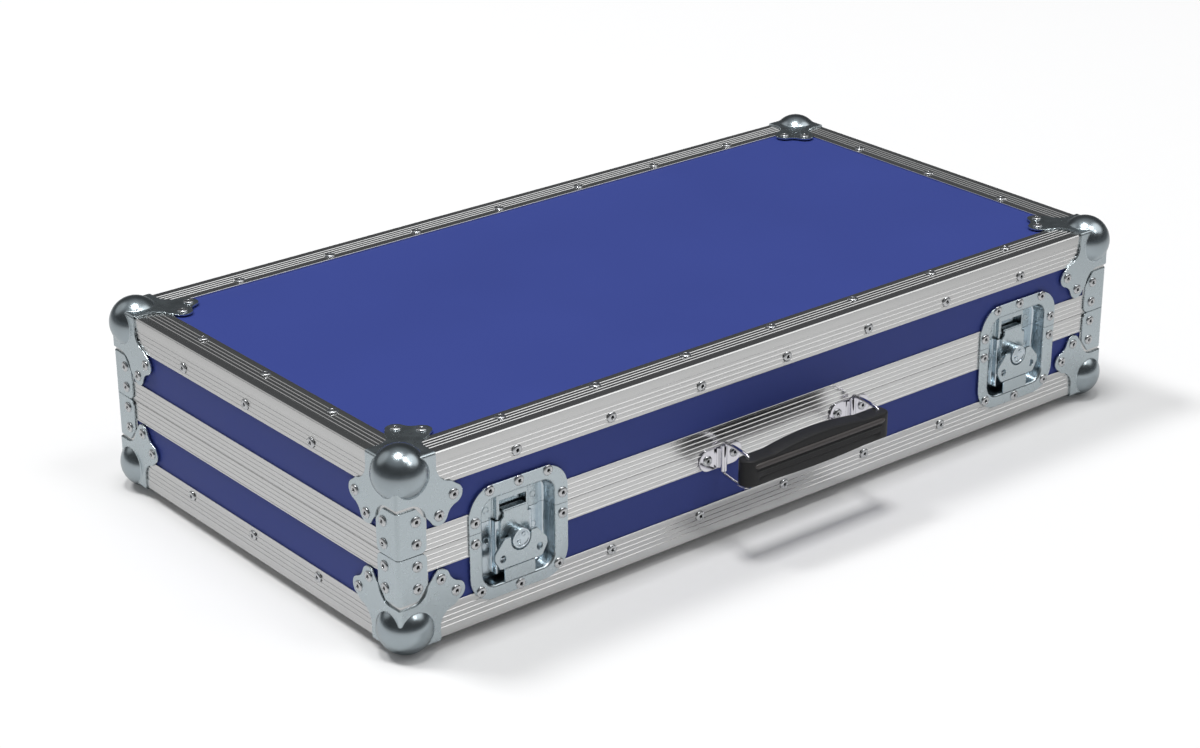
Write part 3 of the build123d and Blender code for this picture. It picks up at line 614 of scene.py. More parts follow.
def crease_mesh(start, end, sheet, radius):
    """Bend of a sheet along the third direction, at the corner of two faces, with rounded ends."""
    inner = radius - sheet
    rings = []
    for along, r in ((start, radius - 0.3), (start + 0.3, radius), (end - 0.3, radius), (end, radius - 0.3)):
        outside = arc((inner, inner), r, 180, 270, 8)
        rings.append([(u, v, along) for u, v in outside + [(inner, 0.0), (0.1, 0.1), (0.0, inner)]])
    return lofted(rings)


CORNER_FRONT = laid(X, Z, -Y)
CORNER_LEFT = laid(Y, Z, -X)
face = joined([sheet_plate(wing_outline(), BALL_SHEET, 0.35), blend_ring()])
crease = crease_mesh(UNDER_BALL, NECK, BALL_SHEET, BALL_BEND)
plates = joined(copies([face], laid(X, Y, -Z), CORNER_FRONT, CORNER_LEFT)
                + copies([crease], Matrix.Identity(4), laid(Y, Z, X), laid(Z, X, Y)))
# The ball takes the darker zinc, whose colour is painted shade.
BALL_FINISHES = [zinc_plate, zinc_with_painted_shade]
corner = joined([painted(plates, BALL_FINISHES, 0), painted(ball_cap(), BALL_FINISHES, 1)])
corners = copies([moved(corner, at(-HALF_X, -HALF_Y))], *FOUR)
both_halves("ball_corner_set", corners, BALL_FINISHES, "ball_corners")

# %% Their rivets, two on each wing
WALLS = (("front", HALF_X), ("back", HALF_X), ("left", HALF_Y), ("right", HALF_Y))
HANDS = (-1, 1)
for body, level, turn in (("base", "bottom", -1), ("lid", "top", 1)):
    places = [(side, hand * (half - u), SEAM + turn * (SEAM - v), BALL_SHEET)
              for side, half in WALLS for hand in HANDS for u, v in LOBES]
    places += [(level, x * (HALF_X - u), y * (HALF_Y - v), BALL_SHEET)
               for x in HANDS for y in HANDS for u, v in LOBES]
    set_rivets(f"{body}_ball_corner_rivets", body, places)

# %% [markdown]
# ## Seam braces
# At each upright corner a bent brace stiffens the lid and another the base, and they meet at the seam. The
# leg is straight beside the seam, has one round corner, and narrows where it passes the ball corner. Two
# sheet plates with a quarter round between them make it, in the way that the ball corner is made.

# %% Braces and their rivets
BRACE_SHEET = 1.5
BRACE_BEND = 3.6
BRACE_END = 43.0
first = BRACE_BEND - BRACE_SHEET - 0.3
leg = [(first, 0.2), (28.4, 0.2, 7.0), (28.4, 30.0, 2.0), (18.5, BRACE_END, 1.0), (first, BRACE_END)]
plate = sheet_plate(soften(leg, 6), BRACE_SHEET)
brace = joined(copies([plate], CORNER_FRONT, CORNER_LEFT)
               + [crease_mesh(0.2, BRACE_END, BRACE_SHEET, BRACE_BEND)])
lid_braces = copies([moved(brace, at(-HALF_X, -HALF_Y, SEAM))], *FOUR)
for body, meshes in (("lid", lid_braces), ("base", copies(lid_braces, TO_LID))):
    piece(f"{body}_seam_braces", meshes, body, [zinc_plate], [f"{body}_braces"])
for body, turn in (("base", -1), ("lid", 1)):
    places = [(side, hand * (half - 18.0), SEAM + turn * step, BRACE_SHEET)
              for side, half in WALLS for hand in HANDS for step in (10.4, 31.3)]
    set_rivets(f"{body}_brace_rivets", body, places)

# %% [markdown]
# ## Latch dishes
# A butterfly latch sits in a pressed dish so that nothing sticks out to be knocked off. The dish is one
# pressing with a flat flange, a soft bend and steep walls, cut in two at the seam. It is built as rings of
# a rounded rectangle that step from the flange's rim over the bend to the floor, then back
# behind as the sheet's other side, and a plane cuts it into its base and lid halves.

# %% The dish, cut at the seam
FLANGE = 1.5
DISH_FLOOR = -14.0
DISH_BACK = -15.2
FLANGE_RIM = (106.0, 20.0, 127.7, 25.0)
MOUTH_RIM = (78.3, 31.9, 114.1, 13.5)


def dish_shell():
    """Closed shell of the whole dish on the bench, u across from its middle, v as case height."""
    def ring(rim, grow, out):
        """The flange's or the mouth's rounded rectangle, grown on all sides, at one height."""
        width, low, high, radius = rim
        outline = rounded_box(width + 2 * grow, low - grow, high + grow, max(3.0, radius + grow))
        return [(u, v, out) for u, v in outline]

    steps = [radians(a) for a in range(0, 91, 18)]
    bend = [(2.6 * (1 - sin(a)), FLANGE - 2.6 * (1 - cos(a))) for a in steps]
    bend += [(-0.9 - 2.4 * (1 - cos(a)), -11.6 - 2.4 * sin(a)) for a in steps]
    bend += [(-20, DISH_FLOOR), (-36, DISH_FLOOR), (-36, DISH_BACK), (-20, DISH_BACK), (-2.0, DISH_BACK),
             (0.6, -12.0), (1.4, -1.5), (3.0, 0.0)]
    rings = [ring(FLANGE_RIM, -0.3, FLANGE)] + [ring(MOUTH_RIM, grow, out) for grow, out in bend]
    rings += [ring(FLANGE_RIM, 0.0, 0.0), ring(FLANGE_RIM, 0.0, FLANGE - 0.3)]
    return lofted(rings, closed=True)


def cut_at(mesh, height, keep_below):
    """Cut a bench mesh at a case height, keep one side and close the cut."""
    shape = bmesh.new()
    shape.from_mesh(mesh)
    result = bmesh.ops.bisect_plane(shape, geom=shape.verts[:] + shape.edges[:] + shape.faces[:],
                                    plane_co=(0, height, 0), plane_no=(0, 1, 0),
                                    clear_outer=keep_below, clear_inner=not keep_below)
    rim = [e for e in result["geom_cut"] if isinstance(e, bmesh.types.BMEdge)]
    bmesh.ops.edgenet_fill(shape, edges=rim)
    return settled(shape)


DISH_FINISHES = [zinc_plate, zinc_with_painted_light]
# Faces below this depth take the lighter zinc, as painted light.
SUNKEN_BELOW = -0.8


def light_the_sunken_part(mesh):
    """Give the sunken part the second finish, a lighter zinc that is painted light in the shaded hollow."""
    painted(mesh, DISH_FINISHES)
    for polygon in mesh.polygons:
        polygon.material_index = int(polygon.center.z < SUNKEN_BELOW)
    return mesh


dish = dish_shell()
tab = sheet_plate(soften(both_sides([(16.5, 31.0), (16.5, 43.9)]), radius=0.5), FLANGE)
dish_low = joined([light_the_sunken_part(cut_at(dish, SEAM - SEAM_GAP / 2, True)), light_the_sunken_part(tab)])
dish_high = light_the_sunken_part(cut_at(dish, SEAM + SEAM_GAP / 2, False))
LATCHES = (("left", -LATCH_X), ("right", LATCH_X))
DISH_HALVES = (("base", dish_low, "dish"), ("lid", dish_high, "strike_dish"))
DISH_RIVETS = (
    ("base", "dish", [(-47, 77.7), (47, 77.7), (-42.2, 30.6), (42.2, 30.6), (0, 24.8)]),
    ("lid", "strike", [(-47, 97.6), (47, 97.6), (-31.3, 123.4), (31.3, 123.4), (0, 123.4)]),
)
for name, x in LATCHES:
    for body, mesh, node in DISH_HALVES:
        piece(f"latch_{name}_dish_{body}_half", copies([mesh], on_face("front", x)), body, DISH_FINISHES,
              [f"latch_{name}_{node}"], 40)
    for body, part, holes in DISH_RIVETS:
        set_rivets(f"latch_{name}_{part}_rivets", body, [("front", x + u, v, FLANGE) for u, v in holes])

# %% [markdown]
# ## Bed plate and strike plate
# In the dish stand two folded plates. The bed plate carries the spindle and guides the hook, and the strike
# plate on the lid has the window that the hook's lip holds. Both are a top hat in section, so each is one
# profile pushed along its height. The strike plate's window is cut with a boolean.

# %% Top hat plates
def top_hat(width, front, low, high):
    """Folded plate: feet on the dish floor, walls, and a top at a depth below the face."""
    thick = 1.5
    half = width / 2
    foot = 31.0
    right = [(half, -front, 1.8), (half, DISH_FLOOR + thick, 1.2), (foot, DISH_FLOOR + thick, 0.4),
             (foot, DISH_FLOOR, 0.2), (half - thick, DISH_FLOOR, 0.4), (half - thick, -front - thick, 0.6)]
    profile = soften(both_sides(right), 4)
    return lofted([[(u, v, out) for u, out in profile] for v in (low, high)])


def cut_out(mesh, cutter):
    """A bench mesh with the cutter's volume taken out by an exact boolean."""
    objects = [bpy.data.objects.new("bench", each) for each in (mesh, cutter)]
    for thing in objects:
        bpy.context.scene.collection.objects.link(thing)
    body, tool = objects
    step = body.modifiers.new("cut", "BOOLEAN")
    step.operation = "DIFFERENCE"
    step.object = tool
    step.solver = "EXACT"
    result = bpy.data.meshes.new_from_object(body.evaluated_get(bpy.context.evaluated_depsgraph_get()))
    for thing in objects:
        bpy.data.objects.remove(thing)
    return result


bed = top_hat(40.0, 6.7, SEAM - 50.0, SEAM - 0.25)
window = lofted([[(u, v, out) for u, v in both_sides([(14.5, 94.7), (14.5, 105.0)])] for out in (-12.0, 0.0)])
strike = cut_out(top_hat(35.0, 7.7, SEAM + 0.25, SEAM + 25.0), window)
weld = turned([(3.4, 0.0), (3.2, 0.35), (2.6, 0.45), (2.3, 0.15), (0, 0.1)], 24)
welds_low, welds_high = [copies([weld], *(at(u, SEAM + v, DISH_FLOOR + 1.5) for u in (-25.5, 25.5)))
                         for v in (-18.5, 10.5)]
for name, x in LATCHES:
    place = on_face("front", x)
    piece(f"latch_{name}_bed", copies([bed] + welds_low, place), "base", [zinc_with_painted_light],
          [f"latch_{name}_bed_plate"])
    piece(f"latch_{name}_strike", copies([strike] + welds_high, place), "lid", [zinc_plate],
          [f"latch_{name}_strike_plate"])

# %% [markdown]
# ## Hook, spindle and butterfly wing
# Turning the wing turns the spindle, whose off-centre cam draws the hook down and clamps the lid. The hook is
# a flat plate with shoulders and a bent lip. The spindle is a turned knob with a rim, two small
# buttons and a groove half-way down. The wing is a flat plate with a round cut-out for the knob and
# two finger holes, and it hinges on a pin through the knob. Plates and turned parts make all of them.

# %% Hook
SPINDLE_V = SEAM - 17.5
HOOK_DEPTH = 4.5


def hook_mesh():
    """Flat plate whose top is bent over and reaches through the strike plate's window."""
    top = 27.0
    lip_end = -12.0
    outline = soften(both_sides([(15.5, -18.5, 2), (15.5, 17.5, 2), (12, 21.0, 1.5), (12, top - 2.0, 0)]))
    slot = soften(both_sides([(11.2, -12.1, 5), (11.2, 4.1, 5)]), 6)
    plate = moved(sheet_plate(outline, 2.0, holes=[slot]), at(out=-HOOK_DEPTH - 2.0))
    lip = soften([(top - 4.0, -HOOK_DEPTH - 0.02, 0), (top, -HOOK_DEPTH - 0.02, 1.6),
                  (top, lip_end, 0.3), (top - 1.5, lip_end, 0.3), (top - 1.5, -HOOK_DEPTH - 1.9, 0.5),
                  (top - 4.0, -HOOK_DEPTH - 1.9, 0)], 5)
    return joined([plate, lofted([[(u, v, out) for v, out in lip] for u in (-12, 12)])])


# %% Spindle with its knob, cam, shaft and nut
def spindle_mesh():
    """Everything that turns as one, on the spindle's axis."""
    out = 4.6
    r = 9.5
    knob = turned([(0, out - 0.8), (r - 2.9, out - 0.8), (r - 2.2, out - 0.5), (r - 1.9, out - 0.05),
                   (r - 1.3, out), (r - 0.5, out - 0.12), (r - 0.1, out - 0.5), (r, out - 1.0),
                   (r, out - 3.0), (r - 0.5, out - 3.2), (r - 0.5, out - 3.8), (r, out - 4.0), (r, -3.9),
                   (r - 0.3, -4.2), (0, -4.2)], 48)
    button = turned([(2.2, out - 0.8), (2.2, out - 0.5), (1.9, out - 0.3), (1.5, out - 0.4),
                     (1.2, out - 0.85), (0, out - 1.0)], 20)
    buttons = copies([button], at(-2.5, -3.1), at(2.5, 3.1))
    cam = moved(turned([(0, -4.2), (7.2, -4.2), (7.2, -6.6), (0, -6.6)]), at(v=-4.0))
    shaft = turned([(0, -4.2), (3, -4.2), (3, -9.7), (0, -9.7)], 24)
    nut = turned([(0, -8.25), (5.0, -8.25), (5.5, -8.5), (5.5, -9.5), (5.0, -9.75), (0, -9.75)], 6)
    return joined([knob, cam, shaft, nut] + buttons)


# %% Wing with its ears, holes and pin
ACROSS = Matrix.Rotation(pi / 2, 4, "Y")
WING_PIN_OUT = 0.9


def wing_mesh():
    """Flat wing with two finger holes, and an ear on each side of the knob."""
    right = [(11.0, 4.5, 1.0), (17.5, 4.5, 1.6), (28.0, -7.6, 2.2), (28.5, -13.6, 2.2), (22.8, -23.7, 2.4)]
    cut = [(u, v, 0) for u, v in arc((0, 0), 11.0, 180, 360, 20)]
    outline = soften(both_sides(right) + cut, 5)[::-1]
    holes = [arc((hand * 19.9, -14.1), 3.3, 360, 15, 18) for hand in HANDS]
    plate = moved(sheet_plate(outline, 2.0, 0.35, holes), at(out=1.7))
    ear = turned([(1.7, -2.7), (2.6, -2.7), (2.8, -2.5), (2.8, 2.5), (2.6, 2.7), (1.7, 2.7)], 24)
    return joined([plate] + copies([ear], *(at(hand * 14.3, 0, WING_PIN_OUT) @ ACROSS for hand in HANDS)))


def pin_mesh(radius, half, out, bulge=0.0):
    """Pin lying across at a height, with slightly domed ends."""
    pin = turned([(0, -half - bulge), (radius - 0.3, -half), (radius, -half + 0.3), (radius, half - 0.3),
                  (radius - 0.3, half), (0, half + bulge)], 24)
    return moved(pin, at(out=out) @ ACROSS)


LATCH_PARTS = (
    ("hook_plate", hook_mesh(), "hook", zinc_plate, "zinc_steel", "hook", 32),
    ("knob", spindle_mesh(), "turning", zinc_with_painted_light, "plated_steel", "spindle", 25),
    ("butterfly", wing_mesh(), "wing", zinc_plate, "zinc_steel", "wing", 32),
    ("pin", pin_mesh(1.6, 17.0, WING_PIN_OUT), "turning", zinc_with_painted_shade, "plated_steel", "wing_pin", 32),
)
for name, x in LATCHES:
    for part, mesh, body, metal, slot, node, crease_angle in LATCH_PARTS:
        piece(f"latch_{name}_{part}", copies([mesh], on_face("front", x, SPINDLE_V)),
              f"latch_{name}_{body}", [metal], [f"latch_{name}_{node}"], crease_angle)

# %% [markdown]
# ## Handle
# The handle folds flat to one side: two wire loops swing in rolled brackets, and the moulded grip hangs on
# their far ends. The wire is one closed loop with tight bends and arms that bow a little. The grip is lofted
# from rounded rectangles that grow towards its crowned middle.

# %% Brackets
HANDLE_V = 76.0
BRACKET_U = 81.0
BARREL_OUT = 5.0
WIRE_R = 1.75


def bracket_mesh():
    """Oblong plate with the barrel that the wire turns in, and the fold that holds the barrel."""
    end_r = 10.8
    reach = 25.5 - end_r
    outline = arc((reach, 0), end_r, -90, 90, 14) + arc((-reach, 0), end_r, 90, 270, 14)
    bore = WIRE_R + 0.15
    barrel = turned([(bore, -13.0), (2.9, -13.0), (3.4, -12.6), (3.4, 12.6), (2.9, 13.0), (bore, 13.0)], 28)
    barrel = moved(barrel, at(out=BARREL_OUT) @ Matrix.Rotation(-pi / 2, 4, "X"))
    fold = soften(both_sides([(3.3, 5.0, 1.5), (4.6, 2.0, 3.0), (9.0, 1.4, 3.0), (9.5, 0.2, 0)]), 6)
    neck = lofted([[(u, v, out) for u, out in fold] for v in (-9.4, 9.4)])
    return joined([sheet_plate(outline, 1.5, 0.45), barrel, neck])


HANDLE_ENDS = (("left", -BRACKET_U), ("right", BRACKET_U))
brackets = copies([bracket_mesh()], *(on_face("front", u, HANDLE_V) for _, u in HANDLE_ENDS))
piece("handle_bracket_pair", brackets, "base", [nickel_wire], ["handle_brackets"])
set_rivets("handle_bracket_rivets", "base",
           [("front", u + hand * 16.1, HANDLE_V, 1.5) for _, u in HANDLE_ENDS for hand in HANDS])

# %% Wire loops
REST_TURN = radians(6.0)
REACH = 38.0


def loop_mesh():
    """Closed wire loop in its own plane: the first upright at 0, the second at the reach."""
    high = 15.9
    bow = 0.9
    corner = 4.2
    route = arc((corner, high - corner), corner, 180, 100, 6)
    route += [(14, high + bow * 0.75), (REACH / 2, high + bow), (REACH - 14, high + bow * 0.75)]
    route += arc((REACH - corner, high - corner), corner, 80, 0, 6)
    route += [(a, -v) for a, v in reversed(route)]
    return curve_mesh([[(a, 0, v) for a, v in route]], dimensions="3D", bevel_depth=WIRE_R,
                      bevel_resolution=5)


swing = Matrix.Rotation(-pi / 2 - REST_TURN, 4, "Z")
for name, u in HANDLE_ENDS:
    place = at(u, -HALF_Y - BARREL_OUT, HANDLE_V) @ swing
    piece(f"handle_wire_{name}", copies([loop_mesh()], place), f"handle_{name}_loop", [nickel_wire],
          [f"handle_loop_{name}"], 60)

# %% Grip
GRIP_R = 9.0
GRIP_BODY = 13.0
GRIP_CROWNED = 56.0


def grip_ring(x):
    """Rounded rectangle across the grip, with a shallow groove along its front."""
    beyond = max(0.0, abs(x) - BRACKET_U)
    deep = max(0.05, sqrt(max(0.0, GRIP_R ** 2 - beyond ** 2)))
    swell = cos(x / GRIP_CROWNED * pi / 2) if abs(x) < GRIP_CROWNED else 0.0
    crown = GRIP_BODY + 5.0 * swell ** 0.85
    belly = GRIP_BODY + 1.6 * swell
    if beyond > 6.5:
        squeeze = 1 - (beyond - 6.5) / 2.5 * 0.12
        crown *= squeeze
        belly *= squeeze
    groove = 0.5 if abs(x) < 76 else 0.0
    soft = min(2.6, deep * 0.9)
    line = [(-deep, -belly, soft), (-deep, -6.2, 0), (-deep + groove, -5.6, 0), (-deep + groove, -4.4, 0),
            (-deep, -3.8, 0), (-deep, 1.0, 0), (-deep, crown, soft), (deep, crown, soft),
            (deep, 0.0, 0), (deep, -belly, soft)]
    return [(x, y, z) for y, z in soften(line, 4)]


def rib_mesh(height, thick, proud, reach):
    """Raised rib with round ends along the front of the grip."""
    rings = []
    ends = [reach - d for d in (0.0, 0.4, 1.2, 2.4, 4.0)]
    for x in [-end for end in ends] + [12.0 * i for i in range(-6, 7)] + ends[::-1]:
        taper = min(1.0, max(0.0, (reach - abs(x)) / 4.0)) ** 0.5
        half = 0.3 + (thick - 0.3) * taper
        out = 0.3 + proud * taper
        turns = [pi * k / 8 for k in range(9)]
        curve = [(x, -8.8 - out * sin(t), height + half * cos(t)) for t in turns]
        rings.append(curve + [(x, -7.6, height - half), (x, -7.6, height + half)])
    return lofted(rings)


left_end = [-90.0, -89.7, -89.0, -87.8, -86.0, -83.8, -81.0, -77.0, -76.0, -75.0, -66.0, -58.0, -56.0]
stations = left_end + [-54.0 + 4.0 * i for i in range(28)] + [-x for x in reversed(left_end)]
GRIP_FINISHES = [grip_plastic, rib_plastic_highlight]
grip = painted(lofted([grip_ring(x) for x in stations]), GRIP_FINISHES, 0)
# The upper rib takes the lighter plastic, which is a painted highlight.
upper_rib = painted(rib_mesh(6.8, 2.7, 1.8, 81.0), GRIP_FINISHES, 1)
lower_rib = painted(rib_mesh(1.6, 1.2, 0.7, 79.0), GRIP_FINISHES, 0)
GRIP_UP = 1.5
grip_place = at(-REACH * sin(REST_TURN), -HALF_Y - BARREL_OUT - REACH * cos(REST_TURN), HANDLE_V + GRIP_UP)
piece("handle_moulded_grip", copies([grip, upper_rib, lower_rib], grip_place), "handle_grip",
      GRIP_FINISHES, ["handle_grip"], 30)

# %% [markdown]
# ## Lid hinges
# The hinges are at the back, where the photograph doesn't show them. They are plain riveted leaf hinges of
# the kind that such cases use: two leaves, three knuckles and a pin with domed ends. Each leaf is a sheet
# plate, and each knuckle a turned barrel with a folded strip that wraps it.

# %% Hinge leaves, knuckles and pins
HINGE_OUT = 4.3
LEAF_HALF = 36.0
LEAF_SHEET = 1.8
HINGE_X = (-260.0, 260.0)


def leaf_mesh(knuckles, turn):
    """One leaf, above or below the seam, with its knuckles numbered from the left."""
    near = 4.4 * turn
    far = 34.0 * turn
    corners = [(-LEAF_HALF, near, 0.3), (LEAF_HALF, near, 0.3), (LEAF_HALF, far, 4), (-LEAF_HALF, far, 4)]
    meshes = [sheet_plate(soften(corners[::turn], 5), LEAF_SHEET, 0.35)]
    barrel = turned([(2.1, -11.8), (3.6, -11.8), (4.0, -11.4), (4.0, 11.4), (3.6, 11.8), (2.1, 11.8)], 28)
    wrap = soften([(0.35, -0.2 * turn, 0.2), (0.35, 5.2 * turn, 0), (LEAF_SHEET, 5.2 * turn, 0),
                   (3.6, 3.2 * turn, 1.0), (3.8, 0, 0)], 4)
    for number in knuckles:
        middle = (number - 1) * 24.0
        meshes.append(moved(barrel, at(middle, 0, HINGE_OUT) @ ACROSS))
        meshes.append(lofted([[(u, v, out) for out, v in wrap] for u in (middle - 11.7, middle + 11.7)]))
    return joined(meshes)


hinge_places = [on_face("back", u, SEAM) for u in HINGE_X]
for body, knuckles, turn in (("base", (0, 2), -1), ("lid", (1,), 1)):
    piece(f"hinge_leaf_pair_{body}", copies([leaf_mesh(knuckles, turn)], *hinge_places), body, [zinc_plate],
          [f"hinge_{body}_leaves"])
    set_rivets(f"hinge_rivets_{body}", body,
               [("back", u + s, SEAM + turn * 21.5, LEAF_SHEET) for u in HINGE_X for s in (-25.0, 0.0, 25.0)])
hinge_pins = copies([pin_mesh(2.0, LEAF_HALF, HINGE_OUT, 0.6)], *hinge_places)
piece("hinge_pin_pair", hinge_pins, "base", [zinc_with_painted_shade], ["hinge_pins"])

# %% [markdown]
# ## Foam
# Inside, charcoal foam lines the base walls and lies on the floor, and the lid has a sheet cut into soft
# peaks that press on the console. Foam has no sharp edge anywhere, so each strip is a dense block with
# rounded edges, whose surface smooth noise pushes in a little, more in one place than in another. Blender
# takes that noise's offset from the clock unless it is given a seed, so a seed is set first.

# %% Foam pads
FOAM_IN = 24.5
PEAK_PITCH = 36.0
PEAK_DROP = 5.5
NEAR_A_FACE = 0.9
seed_set(1)


def foam_block(x0, x1, y0, y1, z0, z1, cell=9.0, wobble=0.5, peaks=None):
    """Soft-edged block as a grid on each face; peaks gives the drop of one face at a place."""
    shape = bmesh.new()
    bmesh.ops.create_cube(shape, size=1.0)
    size = Vector((x1 - x0, y1 - y0, z1 - z0))
    middle = Vector(((x0 + x1) / 2, (y0 + y1) / 2, (z0 + z1) / 2))
    bmesh.ops.scale(shape, vec=size, verts=shape.verts)
    bmesh.ops.translate(shape, vec=middle, verts=shape.verts)
    bmesh.ops.bevel(shape, geom=shape.edges[:], offset=2.2, segments=3, profile=0.5, affect="EDGES")
    for axis in range(3):
        cuts = int(size[axis] / cell)
        for i in range(1, cuts):
            point = Vector(middle)
            point[axis] = middle[axis] - size[axis] / 2 + size[axis] * i / cuts
            bmesh.ops.bisect_plane(shape, geom=shape.verts[:] + shape.edges[:] + shape.faces[:],
                                   plane_co=point, plane_no=(X, Y, Z)[axis])
    for vert in shape.verts:
        if peaks and vert.co.z < z0 + 1.0:
            vert.co.z += peaks(vert.co.x, vert.co.y)
        push = noise_vector(vert.co * 0.02)
        inward = middle - vert.co
        outness = Vector([abs(inward[a]) / (size[a] / 2) for a in range(3)])
        for a in range(3):
            if outness[a] > NEAR_A_FACE:
                vert.co[a] += (1 if inward[a] > 0 else -1) * wobble * (0.5 + 0.5 * push[a])
    return settled(shape)


def peak_drop(x, y):
    """How far the lid foam's face lies above its lowest peaks."""
    return PEAK_DROP * (1 - cos(2 * pi * x / PEAK_PITCH) * cos(2 * pi * y / PEAK_PITCH))


inside_x = HALF_X - FOAM_IN
inside_y = HALF_Y - FOAM_IN
wall_x = HALF_X - 10.5
wall_y = HALF_Y - 10.5
foam_top = 85.0
floor_pad = foam_block(-inside_x, inside_x, -inside_y, inside_y, PLY_IN, 28.6, 14.0)
lid_pad = foam_block(-inside_x, inside_x, -inside_y, inside_y, HEIGHT - 28.6, HEIGHT - PLY_IN, 6.0, 0.3,
                     peak_drop)
strips = [foam_block(-wall_x, wall_x, inside_y, wall_y, INNER_FACE, foam_top),
          foam_block(-wall_x, -inside_x, -inside_y, inside_y, INNER_FACE, foam_top),
          foam_block(inside_x, wall_x, -inside_y, inside_y, INNER_FACE, foam_top),
          foam_block(-wall_x, wall_x, -wall_y, -inside_y, INNER_FACE, 29.8)]
dish_half = DISH_CUT + 0.3
for x0, x1 in ((-wall_x, -LATCH_X - dish_half), (-LATCH_X + dish_half, LATCH_X - dish_half),
               (LATCH_X + dish_half, wall_x)):
    strips.append(foam_block(x0, x1, -wall_y, -inside_y, 28.0, foam_top))
for name, meshes, body, node in (("floor_foam_pad", [floor_pad], "base", "base_floor_foam"),
                                 ("lid_peaked_foam", [lid_pad], "lid", "lid_foam"),
                                 ("wall_foam_strips", strips, "base", "base_foam_liner")):
    pad = piece(name, meshes, body, [foam], [node], 60)

# %% [markdown]
# ## Studio floor, lights and background
# The case stands on a pale studio floor that runs into a white background. Bare metal shows its
# surroundings, so these matter as much as the finishes. Upright metal mirrors the floor in front of the case,
# which is pale nearby and darker further off. Metal that lies flat mirrors the room low down behind the case,
# so the world has a dark band there, seen by mirror images only, and two soft glows higher up for the ribs'
# sloping sides. Four overhead boxes light the matt surfaces. Three of them also show in mirror images and
# make the highlights on the balls. The one behind the case doesn't, or it would glare on the far ribs.

# %% Floor
FLOOR_GREY = 0.80
FLOOR_LIFT = 0.04
MIRRORED_NEAR = 0.70
MIRRORED_FAR = 0.14
LIT_RADIUS = 2.6
FLOOR_HALF = 14


def times_plus(tree, *terms):
    """Output of a x b + c; each term is a number or another node's output."""
    return add(tree, "Math", dict(enumerate(terms)), operation="MULTIPLY_ADD").outputs["Value"]


def studio_white():
    """Floor that is a little brighter to the camera, and greyer further off in mirror images."""
    material = finish("pale studio floor", (1.0, 1.0, 1.0), 0.0, 0.9, (3, 3, 3), colour_swing=0.005,
                      rough_swing=0.02, bump=0.02, specular=0.0)
    tree = material.node_tree
    rays = add(tree, "LightPath").outputs
    place = add(tree, "TexCoord").outputs["Object"]
    shrunk = add(tree, "Mapping", {"Vector": place, "Scale": (1 / LIT_RADIUS,) * 3}).outputs["Vector"]
    fall = add(tree, "TexGradient", {"Vector": shrunk}, gradient_type="SPHERICAL").outputs["Fac"]
    mirrored = times_plus(tree, fall, MIRRORED_NEAR - MIRRORED_FAR, MIRRORED_FAR - FLOOR_GREY)
    level = times_plus(tree, rays["Is Glossy Ray"], mirrored, FLOOR_GREY)
    shade = add(tree, "VectorMath", {"Vector": tree.nodes["Color Ramp"].outputs["Color"], "Scale": level},
                operation="SCALE")
    feed(tree, tree.nodes["Principled BSDF"], {
        "Base Color": shade.outputs["Vector"], "Emission Color": (1, 1, 1, 1),
        "Emission Strength": times_plus(tree, rays["Is Camera Ray"], FLOOR_LIFT, 0.0)})
    return material


flat_square = [(-FLOOR_HALF, -FLOOR_HALF, 0), (FLOOR_HALF, -FLOOR_HALF, 0), (FLOOR_HALF, FLOOR_HALF, 0),
               (-FLOOR_HALF, FLOOR_HALF, 0)]
ground = bpy.data.objects.new("studio_floor", mesh_from(flat_square, [(0, 1, 2, 3)]))
ground.data.materials.append(studio_white())
bpy.context.scene.collection.objects.link(ground)
print("floor", 2 * FLOOR_HALF, "metres square")

# %% World: even light on every matt surface, and a dark band round the horizon in the mirror images
world = bpy.data.worlds.new("studio")
bpy.context.scene.world = world
world.use_nodes = True
tree = world.node_tree
even = tree.nodes["Background"]
feed(tree, even, {"Color": (0.97, 0.98, 1.0, 1), "Strength": 0.22})
direction = add(tree, "TexCoord").outputs["Generated"]
band = add(tree, "ValToRGB", {"Fac": add(tree, "SeparateXYZ", {"Vector": direction}).outputs["Z"]})
stops = band.color_ramp.elements
stops[0].color = (0.15, 0.16, 0.17, 1)
stops[1].color = (0.28, 0.30, 0.31, 1)
for position, grey in ((0.22, 0.06), (0.62, 0.06), (0.78, 0.22)):
    stops.new(position).color = (grey, grey * 1.04, grey * 1.08, 1)
seen = band.outputs["Color"]
for towards, strength in (((0.58, -0.40, 0.71), 1.15), ((-0.40, 0.71, 0.58), 0.45)):
    closeness = add(tree, "VectorMath", {0: direction, 1: towards}, operation="DOT_PRODUCT")
    glow = add(tree, "MapRange", {"Value": closeness.outputs["Value"], "From Min": 0.90, "From Max": 0.98,
                                  "To Max": strength}, interpolation_type="SMOOTHSTEP")
    seen = add(tree, "VectorMath", {0: seen, 1: glow.outputs["Result"]}).outputs["Vector"]
rays = add(tree, "LightPath").outputs
shown = even.outputs["Background"]
for ray, colour in (("Is Glossy Ray", seen), ("Is Camera Ray", (1, 1, 1, 1))):
    background = add(tree, "Background", {"Color": colour, "Strength": 1.0}).outputs["Background"]
    shown = add(tree, "MixShader", {"Fac": rays[ray], 1: shown, 2: background}).outputs["Shader"]
tree.links.new(shown, tree.nodes["World Output"].inputs["Surface"])
print("world nodes", len(tree.nodes))

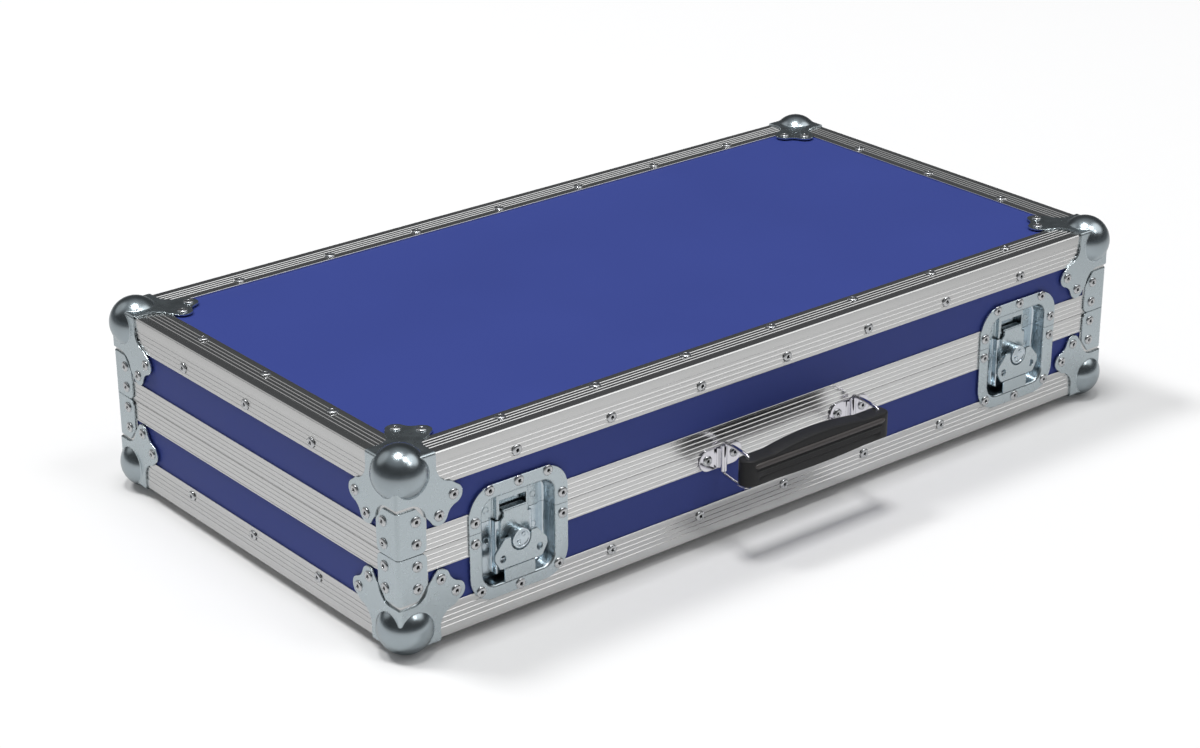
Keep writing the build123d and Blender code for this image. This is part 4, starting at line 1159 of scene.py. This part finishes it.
# %% Lamps
BOX_SIZE = 2.9
CASE_MIDDLE = Vector((0, 0, 0.1))
for name, place, power, mirrored in (("box behind the case", (-3.8, 5.6, 12.0), 760, False),
                                     ("overhead box 0", (-0.8, 0.0, 12.0), 760, True),
                                     ("overhead box 1", (2.0, -5.4, 12.0), 220, True),
                                     ("overhead box 2", (4.6, -10.5, 11.5), 120, True)):
    lamp = bpy.data.lights.new(name, "AREA")
    lamp.size = BOX_SIZE
    lamp.energy = power
    box = bpy.data.objects.new(name, lamp)
    box.location = place
    box.rotation_euler = (CASE_MIDDLE - Vector(place)).to_track_quat("-Z", "Y").to_euler()
    box.visible_glossy = mirrored
    bpy.context.scene.collection.objects.link(box)
    print(name, power, "watts")

# %% [markdown]
# ## Camera
# The photograph was taken from in front and to the left, with a fairly long lens. The place, direction and
# lens come from fitting the case's straight edges. The corners printed below should fall where they
# fall in the photograph.

# %% Camera at the photograph's view
look = bpy.data.cameras.new("camera")
look.sensor_width = 36.0
look.lens = 80.57
look.clip_end = 100
camera = bpy.data.objects.new("camera", look)
bpy.context.scene.collection.objects.link(camera)
bpy.context.scene.camera = camera
turn, fall, roll = radians(39.29), radians(23.57), radians(-0.22)
forward = Vector((sin(turn) * cos(fall), cos(turn) * cos(fall), -sin(fall)))
right = Vector((cos(turn), -sin(turn), 0))
up = right.cross(forward)
camera_place = TO_FRAME @ Vector((-1556.5, -1859.7, 1116.1))
camera.matrix_world = laid(right * cos(roll) + up * sin(roll), up * cos(roll) - right * sin(roll), -forward,
                           camera_place)
bpy.context.view_layer.update()
focal = look.lens / look.sensor_width * 1200
for name, point in (("bottom near", (-HALF_X, -HALF_Y, 0)), ("bottom right", (HALF_X, -HALF_Y, 0)),
                    ("top near", (-HALF_X, -HALF_Y, HEIGHT)), ("top far right", (HALF_X, HALF_Y, HEIGHT)),
                    ("top far left", (-HALF_X, HALF_Y, HEIGHT))):
    local = camera.matrix_world.inverted() @ (TO_FRAME @ Vector(point))
    print(name, round(600 - focal * local.x / local.z, 1), round(374 + focal * local.y / local.z, 1))

# %% [markdown]
# ## Closing the scene
# The colours are shown as they are, without a film look.

# %% View
bpy.context.scene.view_settings.view_transform = "Standard"
